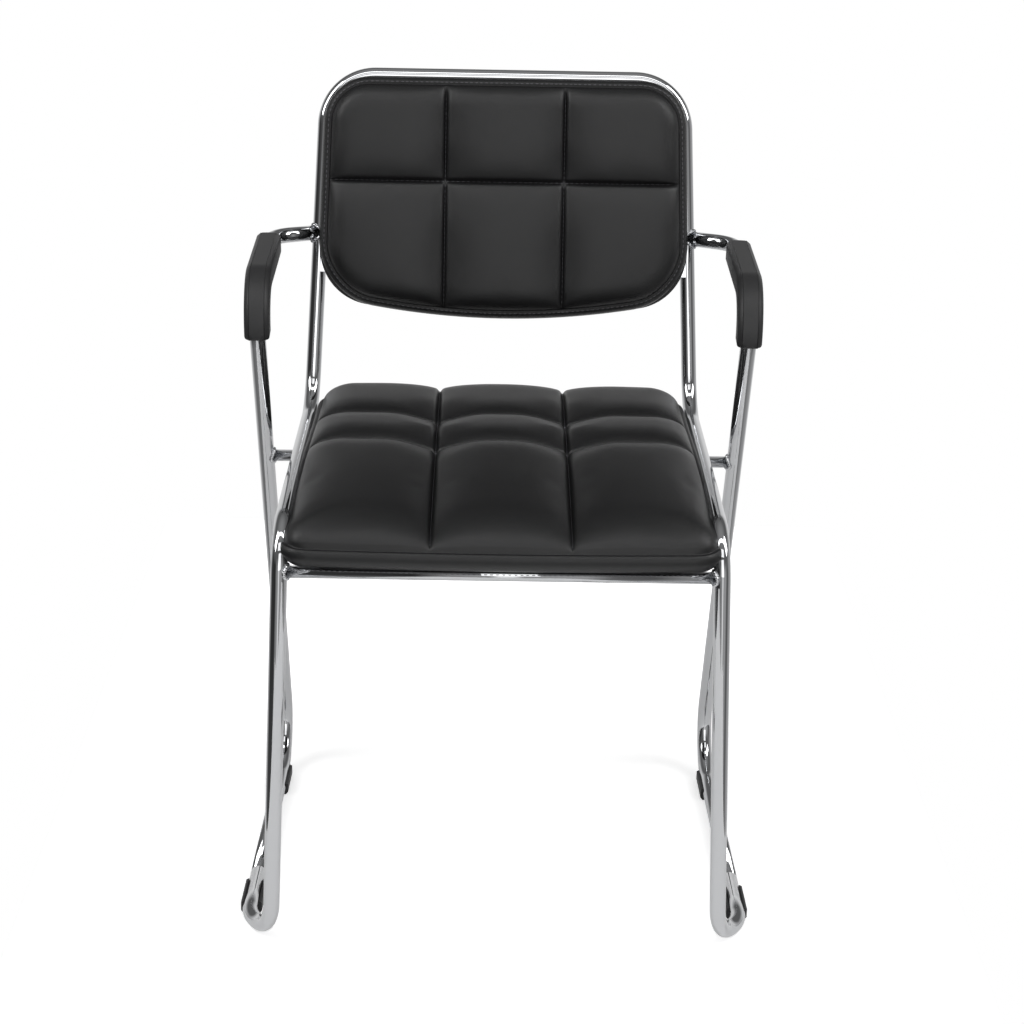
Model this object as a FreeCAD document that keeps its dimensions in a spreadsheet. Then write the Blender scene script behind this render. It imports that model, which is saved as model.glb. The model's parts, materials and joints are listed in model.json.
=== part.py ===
"""Sled base visitor chair: bent tube frame, two crossbars, padded seat and back, arm pads and glides.

Millimetres, +Z up, front towards -Y, origin on the floor under the middle of the chair.
"""

import FreeCAD, Part
import math
import os

import Sketcher
from FreeCAD import Placement, Rotation, Vector

# Driving dimensions. Corners of the tube's centre line are given where its straight runs would meet.
SIZES = {
    # Round tube of the frame, and the round bars across it
    "tube_diameter": 16.0,
    "tube_wall": 1.5,
    "bar_diameter": 12.0,
    "weld_leg": 3.0,
    "weld_sink": 1.0,
    # Hoop of the back
    "hoop_x": 190.0,
    "hoop_y": 247.0,
    "hoop_z": 782.0,
    "hoop_radius": 54.0,
    # Rear and front ends of the seat rails
    "rail_rear_x": 204.5,
    "rail_rear_y": 168.0,
    "rail_rear_z": 437.0,
    "rail_rear_radius": 50.0,
    "rail_front_x": 205.0,
    "rail_front_y": -238.0,
    "rail_front_z": 440.5,
    "rail_front_radius": 45.0,
    # Front foot, toe that turns outwards, and floor runner
    "foot_x": 221.0,
    "foot_y": -226.0,
    "foot_radius": 39.0,
    "toe_splay": 29.4,
    "toe_straight": 2.8,
    "toe_radius": 44.0,
    "runner_rear_x": 239.5,
    "runner_rear_y": 219.0,
    "runner_rear_radius": 54.0,
    # Arm, from the rear leg back to the hoop
    "arm_front_x": 243.0,
    "arm_front_y": -50.0,
    "arm_front_z": 618.5,
    "arm_front_radius": 42.0,
    "arm_rear_x": 247.0,
    "arm_rear_y": 186.0,
    "arm_rear_z": 619.0,
    "arm_rear_radius": 32.0,
    # Spigot that joins the tube inside each runner
    "sleeve_y": -96.0,
    "sleeve_length": 50.0,
    "sleeve_clearance": 0.1,
    # Clip-on floor glides
    "glide_sole": 2.5,
    "glide_length": 48.0,
    "glide_wall": 2.4,
    "glide_front_y": -140.0,
    "glide_rear_y": 129.0,
    "glide_clearance": 0.15,
    "glide_sole_half": 7.6,
    "glide_side_low": 4.0,
    "glide_side_high": 2.6,
    "glide_lip_high": 3.8,
    "glide_lip_draw": 1.9,
    # Seat board, bent down towards the front bar
    "board_thickness": 10.0,
    "cover_thickness": 1.0,
    "seat_bend_y": -32.0,
    "seat_drop_angle": 6.3,
    "seat_board_width": 352.0,
    "seat_board_rear_y": 162.0,
    "seat_board_front_y": -240.0,
    "seat_board_corner": 26.0,
    "seat_cover_margin": 6.0,
    "seat_cover_front_margin": 3.0,
    # Shapes that both cushions share: how the panels swell between their sewn lines
    "panel_bulge": 1.0,
    "outer_panel_share": 0.75,
    "swell_power": 0.65,
    # Seat cushion
    "seat_rear_half": 191.0,
    "seat_front_half": 207.0,
    "seat_rear_y": 180.0,
    "seat_front_y": -255.0,
    "seat_side_draw": 3.0,
    "seat_end_bow": 5.0,
    "seat_rear_corner": 38.0,
    "seat_front_corner": 22.0,
    "seat_channel_y": 56.0,
    "seat_channel_x": 66.0,
    "seat_band": 21.0,
    "seat_valley": 5.0,
    "seat_pucker": 3.0,
    "seat_crown": 9.0,
    "seat_front_crown": 15.0,
    "seat_undercut": 15.0,
    "seat_seam_overhang": 1.0,
    "seat_plan_depth": 60.0,
    "foam_clearance": 0.3,
    # Screws of seat and back; a head's domed outline is given as shares of its radius and height
    "screw_diameter": 6.0,
    "screw_head_diameter": 12.0,
    "screw_head_height": 3.3,
    "screw_clearance": 0.25,
    "screw_shortfall": 1.5,
    "dome_flat_share": 0.6,
    "dome_side_share": 0.9,
    "nut_start": 1.0,
    "nut_barrel_diameter": 8.0,
    "nut_flange_diameter": 19.0,
    "nut_flange_thickness": 1.4,
    "washer_diameter": 13.0,
    "washer_thickness": 1.2,
    # Back board and the cover behind it
    "back_cover_thickness": 2.0,
    "back_board_thickness": 9.0,
    "back_board_margin": 12.0,
    "back_cover_margin": 1.0,
    # Back cushion, measured along the leaning hoop, down from the hoop's top line
    "back_top": -2.0,
    "back_bottom": -234.0,
    "back_top_overhang": 1.0,
    "back_bottom_overhang": -0.6,
    "back_bottom_bow": 22.0,
    "back_top_corner": 48.0,
    "back_bottom_corner": 60.0,
    "back_channel_height": -111.0,
    "back_channel_x": 63.0,
    "back_band": 14.0,
    "back_valley": 3.5,
    "back_pucker": 2.5,
    "back_crown": 8.0,
    "back_shoulder": 9.0,
    # Steel lugs: tabs with a hole, welded inside the hoop and behind the crossbars
    "lug_width": 26.0,
    "lug_thickness": 3.0,
    "lug_setback": 0.3,
    "lug_end": 14.0,
    "back_screw_inset": 26.5,
    "back_lug_upper": -62.0,
    "back_lug_lower": -196.0,
    "seat_lug_hole": 12.0,
    "seat_lug_x": 120.0,
    # Arm pads and their screws
    "pad_width": 25.0,
    "pad_rise": 13.0,
    "pad_depth": 8.0,
    "pad_chamfer": 3.5,
    "pad_rear_y": 152.0,
    "pad_wrap": 100.0,
    "pad_clearance": 0.2,
    "pad_nest": 3.8,
    "pad_screw_diameter": 4.0,
    "pad_screw_head_diameter": 8.0,
    "pad_screw_head_height": 2.6,
    "pad_screw_bite": 3.5,
    "pad_hole_clearance": 0.05,
    "pad_screw_rear": 22.0,
    "pad_screw_front": 112.0,
}

doc = FreeCAD.newDocument("visitor_chair")
sheet = doc.addObject("Spreadsheet::Sheet", "Sheet")
for row, (alias, value) in enumerate(SIZES.items(), start=1):
    sheet.set(f"A{row}", alias)
    sheet.set(f"B{row}", str(value))
    sheet.setAlias(f"B{row}", alias)
doc.recompute()

SIDES = (("left", -1), ("right", 1))
NODES = []
NEAR = 0.01


def size(alias):
    """The sheet's value under this name."""
    return float(sheet.get(alias))


def amount(expression):
    """The number that an expression over the sheet comes to."""
    return float(sheet.evalExpression(expression.replace("Sheet.", "")))


def keep(node, name):
    """Label an object as one piece of the chair, to be written to its own file."""
    node.Label = name
    NODES.append(node)
    return node


# Geometry of the bent tube


def frame_point(name, side, height=None):
    """A named corner of the tube's centre line on one side of the chair."""
    level = size(name + "_z") if height is None else height
    return Vector(side * size(name + "_x"), size(name + "_y"), level)


def between(first, second, axis, value):
    """The point where the line through two points reaches a value on one axis."""
    share = (value - first[axis]) / (second[axis] - first[axis])
    return first + (second - first) * share


def runner_height():
    """Height of the runner's centre line: the tube stands on the glides' soles."""
    return size("glide_sole") + size("tube_diameter") / 2


def toe_point(side):
    """The corner where the splayed toe turns into the runner, clear of the foot's own bend."""
    foot = frame_point("foot", 1, runner_height())
    leg = frame_point("rail_front", 1) - foot
    splay = math.radians(size("toe_splay"))
    heading = Vector(math.sin(splay), math.cos(splay), 0)
    foot_setback = size("foot_radius") / math.tan(leg.getAngle(heading) / 2)
    toe_setback = size("toe_radius") * math.tan(splay / 2)
    toe = foot + heading * (foot_setback + size("toe_straight") + toe_setback)
    return Vector(side * toe.x, toe.y, toe.z)


def runner_point(side, along):
    """The point of the runner's centre line at this Y."""
    return between(toe_point(side), frame_point("runner_rear", side, runner_height()), 1, along)


def hoop_point(side, height):
    """The point of the hoop's upright at this height."""
    return between(frame_point("rail_rear", side), frame_point("hoop", side), 2, height)


def rear_leg_point(side, height):
    """The point of the rear leg's centre line at this height."""
    runner = frame_point("runner_rear", side, runner_height())
    return between(runner, frame_point("arm_front", side), 2, height)


def straight_run(name, start, end, radius):
    """A straight piece of round rod."""
    run = doc.addObject("Part::Cylinder", name)
    run.setExpression("Radius", radius)
    run.Height = start.distanceToPoint(end)
    run.Placement = Placement(start, Rotation(Vector(0, 0, 1), end - start))
    return run


def bent_rod(name, corners, bends, radius):
    """A bent round rod through the corners: cylinders for its runs, parts of rings for its bends.

    bends names the sheet's bend radius at each corner between the ends; radius is the rod's own.
    """
    pieces = []
    start = corners[0]
    for before, corner, after, bend in zip(corners, corners[1:], corners[2:], bends):
        back = (before - corner).normalize()
        ahead = (after - corner).normalize()
        half = back.getAngle(ahead) / 2
        setback = size(bend) / math.tan(half)
        bend_start = corner + back * setback
        centre = corner + (back + ahead).normalize() * (size(bend) / math.sin(half))
        pieces.append(straight_run(f"{name}_run", start, bend_start, radius))
        ring = doc.addObject("Part::Torus", f"{name}_bend")
        ring.setExpression("Radius1", f"Sheet.{bend}")
        ring.setExpression("Radius2", radius)
        ring.Angle3 = 180 - math.degrees(2 * half)
        outward = (bend_start - centre).normalize()
        onward = (corner - bend_start).normalize()
        ring.Placement = Placement(centre, Rotation(outward, onward, outward.cross(onward), "ZXY"))
        pieces.append(ring)
        start = corner + ahead * setback
    pieces.append(straight_run(f"{name}_run", start, corners[-1], radius))
    return fuse(name, pieces)


def cut(name, base, *tools):
    """One solid cut by others, one after the other."""
    result = base
    for number, tool in enumerate(tools, start=1):
        step = doc.addObject("Part::Cut", f"{name}_cut_{number}")
        step.Base = result
        step.Tool = tool
        result = step
    return result


def fuse(name, pieces):
    """Several solids made into one."""
    result = doc.addObject("Part::MultiFuse", name)
    result.Shapes = pieces
    return result


def group(name, pieces):
    """Identical separate solids kept as one node."""
    result = doc.addObject("Part::Compound", name)
    result.Links = pieces
    return keep(result, name)


def cylinder(name, radius, height, placement):
    """A cylinder whose radius and height are expressions."""
    result = doc.addObject("Part::Cylinder", name)
    result.setExpression("Radius", radius)
    result.setExpression("Height", height)
    result.Placement = placement
    return result


def weld_collar(name, bar_radius, tip, direction):
    """A weld bead round a bar's end: a short cone that widens towards the tube that it meets."""
    result = doc.addObject("Part::Cone", name)
    result.setExpression("Radius1", bar_radius)
    result.setExpression("Radius2", f"{bar_radius} + Sheet.weld_leg + Sheet.weld_sink")
    result.setExpression("Height", "Sheet.weld_leg + Sheet.weld_sink")
    root = tip - direction * (size("tube_diameter") / 2 + size("weld_leg"))
    result.Placement = Placement(root, Rotation(Vector(0, 0, 1), direction))
    return result


# Sketched pieces


def new_body(name, placement):
    """A body that will hold one piece, at its own place."""
    body = doc.addObject("PartDesign::Body", name)
    body.Placement = placement
    return body


def sketch_on(body, role, name):
    """An empty sketch on one of the body's own origin planes."""
    plane = next(item for item in body.Origin.OriginFeatures if item.Role == role)
    sketch = body.newObject("Sketcher::SketchObject", name)
    sketch.AttachmentSupport = [(plane, "")]
    sketch.MapMode = "FlatFace"
    return sketch


def bind(sketch, kind, datum, *where):
    """A dimension of the sketch, driven by an expression."""
    number = sketch.addConstraint(Sketcher.Constraint(kind, *where, sketch.evalExpression(datum)))
    sketch.setExpression(f"Constraints[{number}]", datum)


def outline_sketch(body, role, name, corners, bows=None):
    """A closed outline through corners given as pairs of expressions.

    An edge listed in bows is an arc that stands out by the given expression, to the right of its run.
    """
    bows = bows or {}
    sketch = sketch_on(body, role, name)
    points = [Vector(body.evalExpression(across), body.evalExpression(up), 0) for across, up in corners]
    count = len(points)
    starts = {}
    ends = {}
    for index in range(count):
        first, last = points[index], points[(index + 1) % count]
        starts[index], ends[index] = 1, 2
        if index in bows:
            run = last - first
            outward = Vector(run.y, -run.x, 0).normalize()
            middle = (first + last) / 2 + outward * body.evalExpression(bows[index])
            sketch.addGeometry(Part.Arc(first, middle, last))
            if not sketch.getPoint(index, 1).isEqual(first, NEAR):
                starts[index], ends[index] = 2, 1
        else:
            sketch.addGeometry(Part.LineSegment(first, last))
    for index in range(count):
        after = (index + 1) % count
        sketch.addConstraint(Sketcher.Constraint("Coincident", index, ends[index], after, starts[after]))
    for index, (across, up) in enumerate(corners):
        bind(sketch, "DistanceX", across, -1, 1, index, starts[index])
        bind(sketch, "DistanceY", up, -1, 1, index, starts[index])
    for index, bow in bows.items():
        half_run = (points[(index + 1) % count] - points[index]).Length / 2
        bind(sketch, "Radius", f"({half_run} ^ 2 + ({bow}) ^ 2) / (2 * abs({bow}))", index)
    return sketch


def padded(body, sketch, length):
    """A sketch pushed into a solid by an expression's length."""
    pad = body.newObject("PartDesign::Pad", body.Name + "_pad")
    pad.Profile = sketch
    pad.setExpression("Length", length)
    doc.recompute()
    return pad


def turned(body, corners):
    """A solid of revolution about the body's Z axis, from radius and height expressions."""
    sketch = outline_sketch(body, "XZ_Plane", body.Name + "_profile", corners)
    revolution = body.newObject("PartDesign::Revolution", body.Name + "_turn")
    revolution.Profile = sketch
    revolution.ReferenceAxis = (sketch, ["V_Axis"])
    revolution.Angle = 360
    return body


def round_edges(body, base, radius, wanted):
    """Fillet those edges of a feature that the test picks."""
    names = [f"Edge{number}" for number, edge in enumerate(base.Shape.Edges, start=1) if wanted(edge)]
    fillet = body.newObject("PartDesign::Fillet", f"{base.Name}_rounded")
    fillet.Base = (base, names)
    fillet.setExpression("Radius", radius)
    doc.recompute()
    return fillet


def middle_of(edge):
    """The middle point of an edge."""
    return edge.valueAt((edge.FirstParameter + edge.LastParameter) / 2)


# Frame tubes


TUBE_BORE = "Sheet.tube_diameter / 2 - Sheet.tube_wall"
main_bends = ["toe_radius", "foot_radius", "rail_front_radius", "rail_rear_radius", "hoop_radius"]


def half_frame(side):
    """Corners of one half of the main tube, from the runner's joint up to the hoop."""
    return [
        runner_point(side, size("sleeve_y")),
        toe_point(side),
        frame_point("foot", side, runner_height()),
        frame_point("rail_front", side),
        frame_point("rail_rear", side),
        frame_point("hoop", side),
    ]


main_corners = half_frame(-1) + half_frame(1)[::-1]
main_bends += main_bends[::-1]
main_outside = bent_rod("main_frame_outside", main_corners, main_bends, "Sheet.tube_diameter / 2")
main_bore = bent_rod("main_frame_bore", main_corners, main_bends, TUBE_BORE)
keep(cut("main_frame_tube", main_outside, main_bore), "main_frame_tube")


def arm_screw_place(side, along):
    """Where a screw enters the arm pad: on the arm's centre line, measured from the pad's rear end."""
    rear = frame_point("arm_rear", side)
    front = frame_point("arm_front", side)
    start = between(front, rear, 1, size("pad_rear_y"))
    return start + (front - rear).normalize() * along


SIDE_BENDS = ["runner_rear_radius", "arm_front_radius", "arm_rear_radius"]
side_outsides = {}
side_tubes = {}
for word, side in SIDES:
    weld_point = hoop_point(side, size("arm_rear_z"))
    corners = [
        runner_point(side, size("sleeve_y")),
        frame_point("runner_rear", side, runner_height()),
        frame_point("arm_front", side),
        frame_point("arm_rear", side),
        weld_point,
    ]
    outside = bent_rod(f"side_tube_{word}_outside", corners, SIDE_BENDS, "Sheet.tube_diameter / 2")
    bore = bent_rod(f"side_tube_{word}_bore", corners, SIDE_BENDS, TUBE_BORE)
    inward = (weld_point - corners[3]).normalize()
    collar = weld_collar(f"arm_weld_{word}", "Sheet.tube_diameter / 2", weld_point, inward)
    holes = [
        cylinder(
            f"arm_hole_{word}_{number}",
            "Sheet.pad_screw_diameter / 2 + Sheet.pad_clearance",
            "Sheet.tube_diameter * 2",
            Placement(arm_screw_place(side, size(place)) - Vector(0, 0, size("tube_diameter")), Rotation()),
        )
        for number, place in enumerate(("pad_screw_rear", "pad_screw_front"), start=1)
    ]
    welded = fuse(f"side_tube_{word}_welded", [outside, collar])
    tube = cut(f"side_tube_{word}", welded, bore, main_outside, *holes)
    side_outsides[side] = outside
    side_tubes[side] = keep(tube, f"side_tube_{word}")

sleeves = []
for word, side in SIDES:
    joint = runner_point(side, size("sleeve_y"))
    along = (frame_point("runner_rear", side, runner_height()) - toe_point(side)).normalize()
    root = joint - along * (size("sleeve_length") / 2)
    sleeves.append(
        cylinder(
            f"sleeve_{word}",
            "Sheet.tube_diameter / 2 - Sheet.tube_wall - Sheet.sleeve_clearance",
            "Sheet.sleeve_length",
            Placement(root, Rotation(Vector(0, 0, 1), along)),
        )
    )
group("runner_sleeves", sleeves)


# Crossbars


def mid_bar_centre():
    """Where the bar between the rear legs touches the rails from below."""
    front = frame_point("rail_front", 1)
    rear = frame_point("rail_rear", 1)
    slope = (rear.z - front.z) / (rear.y - front.y)
    gap = (size("tube_diameter") + size("bar_diameter")) / 2 * math.sqrt(1 + slope**2)
    low = rear_leg_point(1, 0)
    lean = rear_leg_point(1, 1).y - low.y
    level = (front.z + slope * (low.y - front.y) - gap) / (1 - slope * lean)
    return Vector(0, rear_leg_point(1, level).y, level)


def seat_underside():
    """Height of the board's flat underside: the dust cover lies between it and the middle bar."""
    return mid_bar_centre().z + size("bar_diameter") / 2 + size("cover_thickness")


def front_bar_centre():
    """Where the bar between the front legs carries the sloping front of the board."""
    drop = math.radians(size("seat_drop_angle"))
    foot = frame_point("foot", 1, runner_height())
    knee = frame_point("rail_front", 1)
    lean = (knee.y - foot.y) / (knee.z - foot.z)
    gap = size("bar_diameter") / 2 + size("cover_thickness")
    rise = (foot.y - lean * foot.z - size("seat_bend_y")) * math.sin(drop) - gap
    level = (rise + seat_underside() * math.cos(drop)) / (math.cos(drop) - lean * math.sin(drop))
    return Vector(0, foot.y + lean * (level - foot.z), level)


def front_leg_point(height):
    """The point of the right front leg's centre line at this height."""
    return between(frame_point("foot", 1, runner_height()), frame_point("rail_front", 1), 2, height)


seat_frames = {
    "front_crossbar": Placement(front_bar_centre(), Rotation(Vector(1, 0, 0), size("seat_drop_angle"))),
    "mid_crossbar": Placement(mid_bar_centre(), Rotation()),
}
bar_reaches = {
    "front_crossbar": front_leg_point(front_bar_centre().z).x,
    "mid_crossbar": rear_leg_point(1, mid_bar_centre().z).x,
}
bar_legs = {"front_crossbar": [main_outside], "mid_crossbar": list(side_outsides.values())}
bar_rods = {}
for name, legs in bar_legs.items():
    centre = seat_frames[name].Base
    reach = bar_reaches[name]
    rod = doc.addObject("Part::Cylinder", name + "_rod")
    rod.setExpression("Radius", "Sheet.bar_diameter / 2")
    rod.Height = 2 * reach
    rod.Placement = Placement(centre - Vector(reach, 0, 0), Rotation(Vector(0, 1, 0), 90))
    collars = []
    for word, side in SIDES:
        tip = centre + Vector(side * reach, 0, 0)
        collars.append(weld_collar(f"{name}_weld_{word}", "Sheet.bar_diameter / 2", tip, Vector(side, 0, 0)))
    keep(cut(name, fuse(name + "_welded", [rod] + collars), *legs), name)
    bar_rods[name] = rod


# Floor glides


def glide(name, side, along):
    """A clip that grips the runner from below and stands on a flat sole."""
    centre = runner_point(side, along)
    heading = (frame_point("runner_rear", side, runner_height()) - toe_point(side)).normalize()
    turn = Rotation(Vector(0, 1, 0), heading)
    place = Placement(Vector(centre.x, centre.y, 0), turn)
    start = place * Placement(Vector(0, size("glide_length") / 2, 0), Rotation())
    body = new_body(name + "_block", start)
    half = "(Sheet.tube_diameter / 2 + Sheet.glide_clearance + Sheet.glide_wall)"
    level = "(Sheet.tube_diameter / 2 + Sheet.glide_sole)"
    outline = [
        ("Sheet.glide_sole_half", "0"),
        (half, "Sheet.glide_side_low"),
        (half, f"{level} + Sheet.glide_side_high"),
        (f"{half} - Sheet.glide_lip_draw", f"{level} + Sheet.glide_lip_high"),
    ]
    outline += [(f"-({across})", up) for across, up in reversed(outline)]
    sketch = outline_sketch(body, "XZ_Plane", name + "_profile", outline)
    block = padded(body, sketch, "Sheet.glide_length")

    def sole_end(edge):
        """True for the sole's edge at the end of the clip that its sketch lies on or at the far one."""
        return abs(middle_of(edge).z) < NEAR and abs(middle_of(edge).x) < NEAR

    round_edges(body, block, "Sheet.glide_lip_draw", sole_end)
    seat = cylinder(
        name + "_seat",
        "Sheet.tube_diameter / 2 + Sheet.glide_clearance",
        "Sheet.glide_length * 2",
        Placement(centre - heading * size("glide_length"), Rotation(Vector(0, 0, 1), heading)),
    )
    keep(cut(name, body, seat), name)


for word, side in SIDES:
    glide(f"glide_front_{word}", side, size("glide_front_y"))
    glide(f"glide_rear_{word}", side, size("glide_rear_y"))


# Seat board and its dust cover


def bent_sheet(name, half_width, rear, front, offset, thickness):
    """A sheet with rounded corners that lies flat behind the seat's bend and slopes down before it.

    Sizes are expressions; offset is how far its underside lies from the board's underside.
    """
    body = new_body(name + "_sheet", Placement(Vector(-amount(half_width), 0, seat_underside()), Rotation()))
    slope = "tan(Sheet.seat_drop_angle)"
    level = "cos(Sheet.seat_drop_angle)"
    stretch = "tan(Sheet.seat_drop_angle / 2)"
    bend = "Sheet.seat_bend_y"
    low = f"({offset})"
    top = f"({offset} + {thickness})"
    skew = f"({thickness}) * sin(Sheet.seat_drop_angle)"
    sketch = outline_sketch(
        body,
        "YZ_Plane",
        name + "_profile",
        [
            (rear, low),
            (rear, top),
            (f"{bend} - {top} * {stretch}", top),
            (f"{front} - {skew}", f"{top} / {level} + ({front} - {skew} - {bend}) * {slope}"),
            (front, f"{low} / {level} + ({front} - {bend}) * {slope}"),
            (f"{bend} - {low} * {stretch}", low),
        ],
    )
    pad = padded(body, sketch, f"2 * ({half_width})")
    limit = size("seat_board_corner")

    def at_corner(edge):
        """Short edges across the sheet's thickness at its four plan corners."""
        spot = middle_of(edge)
        across = min(abs(spot.x), abs(spot.x - 2 * amount(half_width))) < NEAR
        ended = spot.y > amount(rear) - NEAR or spot.y < amount(front) + NEAR
        return across and ended and edge.Length < limit

    round_edges(body, pad, "Sheet.seat_board_corner", at_corner)
    return body


HALF_BOARD = "Sheet.seat_board_width / 2"
seat_board = bent_sheet(
    "seat_board",
    HALF_BOARD,
    "Sheet.seat_board_rear_y",
    "Sheet.seat_board_front_y",
    "0",
    "Sheet.board_thickness",
)
seat_cover = bent_sheet(
    "seat_underside_cover",
    f"{HALF_BOARD} + Sheet.seat_cover_margin",
    "Sheet.seat_board_rear_y + Sheet.seat_cover_margin",
    "Sheet.seat_board_front_y - Sheet.seat_cover_front_margin",
    "-Sheet.cover_thickness",
    "Sheet.cover_thickness",
)
seat_recess = bent_sheet(
    "seat_board_recess",
    f"{HALF_BOARD} + Sheet.foam_clearance",
    "Sheet.seat_board_rear_y + Sheet.foam_clearance",
    "Sheet.seat_board_front_y - Sheet.foam_clearance",
    "-Sheet.board_thickness",
    "2 * Sheet.board_thickness + Sheet.foam_clearance",
)


# Screws, nuts and washers


def screw(name, kind, place, length):
    """A screw with a low domed head, pointing up its own Z axis from under the head.

    kind is the first word of its sizes in the sheet: its diameter and its head's diameter and height.
    """
    head = f"Sheet.{kind}_head_diameter / 2"
    shank = f"Sheet.{kind}_diameter / 2"
    tall = f"Sheet.{kind}_head_height"
    return turned(
        new_body(name, place),
        [
            ("0", f"-{tall}"),
            (f"{head} * Sheet.dome_flat_share", f"-{tall}"),
            (f"{head} * Sheet.dome_side_share", f"-{tall} * Sheet.dome_flat_share"),
            (head, "0"),
            (shank, "0"),
            (shank, length),
            ("0", length),
        ],
    )


def tee_nut(name, place, thickness):
    """A flanged nut let into a board from its far side; its own Z starts at the board's near face."""
    bore = "Sheet.screw_diameter / 2 + Sheet.screw_clearance / 2"
    barrel = "Sheet.nut_barrel_diameter / 2"
    flange = "Sheet.nut_flange_diameter / 2"
    return turned(
        new_body(name, place),
        [
            (bore, "Sheet.nut_start"),
            (barrel, "Sheet.nut_start"),
            (barrel, f"{thickness} - Sheet.nut_flange_thickness"),
            (flange, f"{thickness} - Sheet.nut_flange_thickness"),
            (flange, thickness),
            (bore, thickness),
        ],
    )


def nut_socket(name, place, thickness):
    """The hole in a board for a flanged nut, with its counterbore."""
    barrel = cylinder(
        name + "_hole",
        "Sheet.nut_barrel_diameter / 2 + Sheet.screw_clearance",
        f"2 * {thickness}",
        place * Placement(Vector(0, 0, -amount(thickness) / 2), Rotation()),
    )
    lift = amount(thickness) - size("nut_flange_thickness")
    flange = cylinder(
        name + "_flange",
        "Sheet.nut_flange_diameter / 2 + Sheet.screw_clearance",
        "2 * Sheet.nut_flange_thickness",
        place * Placement(Vector(0, 0, lift), Rotation()),
    )
    return fuse(name, [barrel, flange])


def clearance_hole(name, place, reach):
    """The hole that a screw passes through, centred on its place and running reach each way."""
    return cylinder(
        name,
        "Sheet.screw_diameter / 2 + Sheet.screw_clearance",
        f"2 * {reach}",
        place * Placement(Vector(0, 0, -amount(reach)), Rotation()),
    )


def washer(name, place, hole):
    """A plain washer; its own Z starts at its lower face."""
    disc = cylinder(name + "_disc", "Sheet.washer_diameter / 2", "Sheet.washer_thickness", place)
    return cut(name, disc, hole)


def lug(name, corner, along, across, tube, hole):
    """A steel tab laid out from one corner, coped to the tube that it is welded to, with its screw hole."""
    blank = doc.addObject("Part::Box", name + "_blank")
    blank.Length = along
    blank.Width = across
    blank.setExpression("Height", "Sheet.lug_thickness")
    blank.Placement = corner
    return cut(name, blank, tube, hole)


seat_screws, seat_nuts, seat_washers, seat_sockets, cover_holes, seat_lugs = [], [], [], [], [], []
bar_radius = size("bar_diameter") / 2
seat_lug_rear = bar_radius - size("lug_setback") - size("lug_thickness")
SEAT_SCREW_LENGTH = (
    "Sheet.washer_thickness + Sheet.lug_thickness + Sheet.lug_setback + Sheet.cover_thickness"
    " + Sheet.board_thickness - Sheet.screw_shortfall"
)
for bar_name, bar_frame in seat_frames.items():
    for word, side in SIDES:
        tag = f"{bar_name}_{word}"
        lug_x = side * size("seat_lug_x")
        corner = bar_frame * Placement(Vector(lug_x - size("lug_width") / 2, 0, seat_lug_rear), Rotation())
        axis = bar_frame * Placement(Vector(lug_x, bar_radius + size("seat_lug_hole"), 0), Rotation())
        hole = clearance_hole(f"seat_hole_{tag}", axis, "Sheet.bar_diameter * 2")
        reach = bar_radius + size("seat_lug_hole") + size("lug_end")
        seat_lugs.append(lug(f"seat_lug_{tag}", corner, size("lug_width"), reach, bar_rods[bar_name], hole))
        under = axis * Placement(Vector(0, 0, seat_lug_rear - size("washer_thickness")), Rotation())
        board_face = axis * Placement(Vector(0, 0, bar_radius + size("cover_thickness")), Rotation())
        seat_screws.append(screw(f"seat_screw_{tag}", "screw", under, SEAT_SCREW_LENGTH))
        seat_washers.append(washer(f"seat_washer_{tag}", under, hole))
        seat_nuts.append(tee_nut(f"seat_nut_{tag}", board_face, "Sheet.board_thickness"))
        seat_sockets.append(nut_socket(f"seat_socket_{tag}", board_face, "Sheet.board_thickness"))
        cover_holes.append(hole)
group("seat_lugs", seat_lugs)
group("seat_screws", seat_screws)
group("seat_t_nuts", seat_nuts)
group("seat_washers", seat_washers)
keep(cut("seat_board", seat_board, *seat_sockets), "seat_board")
keep(cut("seat_underside_cover", seat_cover, *cover_holes), "seat_underside_cover")


# Cushions


def pillow_section(at, low, base_half, seam_half, seam, channel_x, valley, crest):
    """One closed section of a quilted row: flat base, drawn-in sides and three crowned panels.

    at places a pair (across, up) in space; the two sewn channels lie at plus and minus channel_x.
    """
    bulge = size("panel_bulge")
    side_across = (base_half + seam_half) / 2 + bulge
    side_up = (low + seam) / 2 - bulge
    outer = (seam_half + channel_x) / 2
    shoulder = crest - (valley - seam) * size("outer_panel_share")
    edges = [
        Part.LineSegment(at(-base_half, low), at(base_half, low)),
        Part.Arc(at(base_half, low), at(side_across, side_up), at(seam_half, seam)),
        Part.Arc(at(seam_half, seam), at(outer, shoulder), at(channel_x, valley)),
        Part.Arc(at(channel_x, valley), at(0, crest), at(-channel_x, valley)),
        Part.Arc(at(-channel_x, valley), at(-outer, shoulder), at(-seam_half, seam)),
        Part.Arc(at(-seam_half, seam), at(-side_across, side_up), at(-base_half, low)),
    ]
    return Part.Wire([edge.toShape() for edge in edges])


ROW_STATIONS = (0.0, 0.06, 0.2, 0.5, 0.8, 0.94, 1.0)


def swell(share):
    """How far a panel has risen at this share of its row, from one sewn line to the next."""
    return math.sin(math.pi * share) ** size("swell_power")


def pillow_row(name, section_at):
    """A row of panels, lofted through its sections."""
    row = doc.addObject("Part::Feature", name)
    row.Shape = Part.makeLoft([section_at(share) for share in ROW_STATIONS], True, False)
    return row


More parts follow.
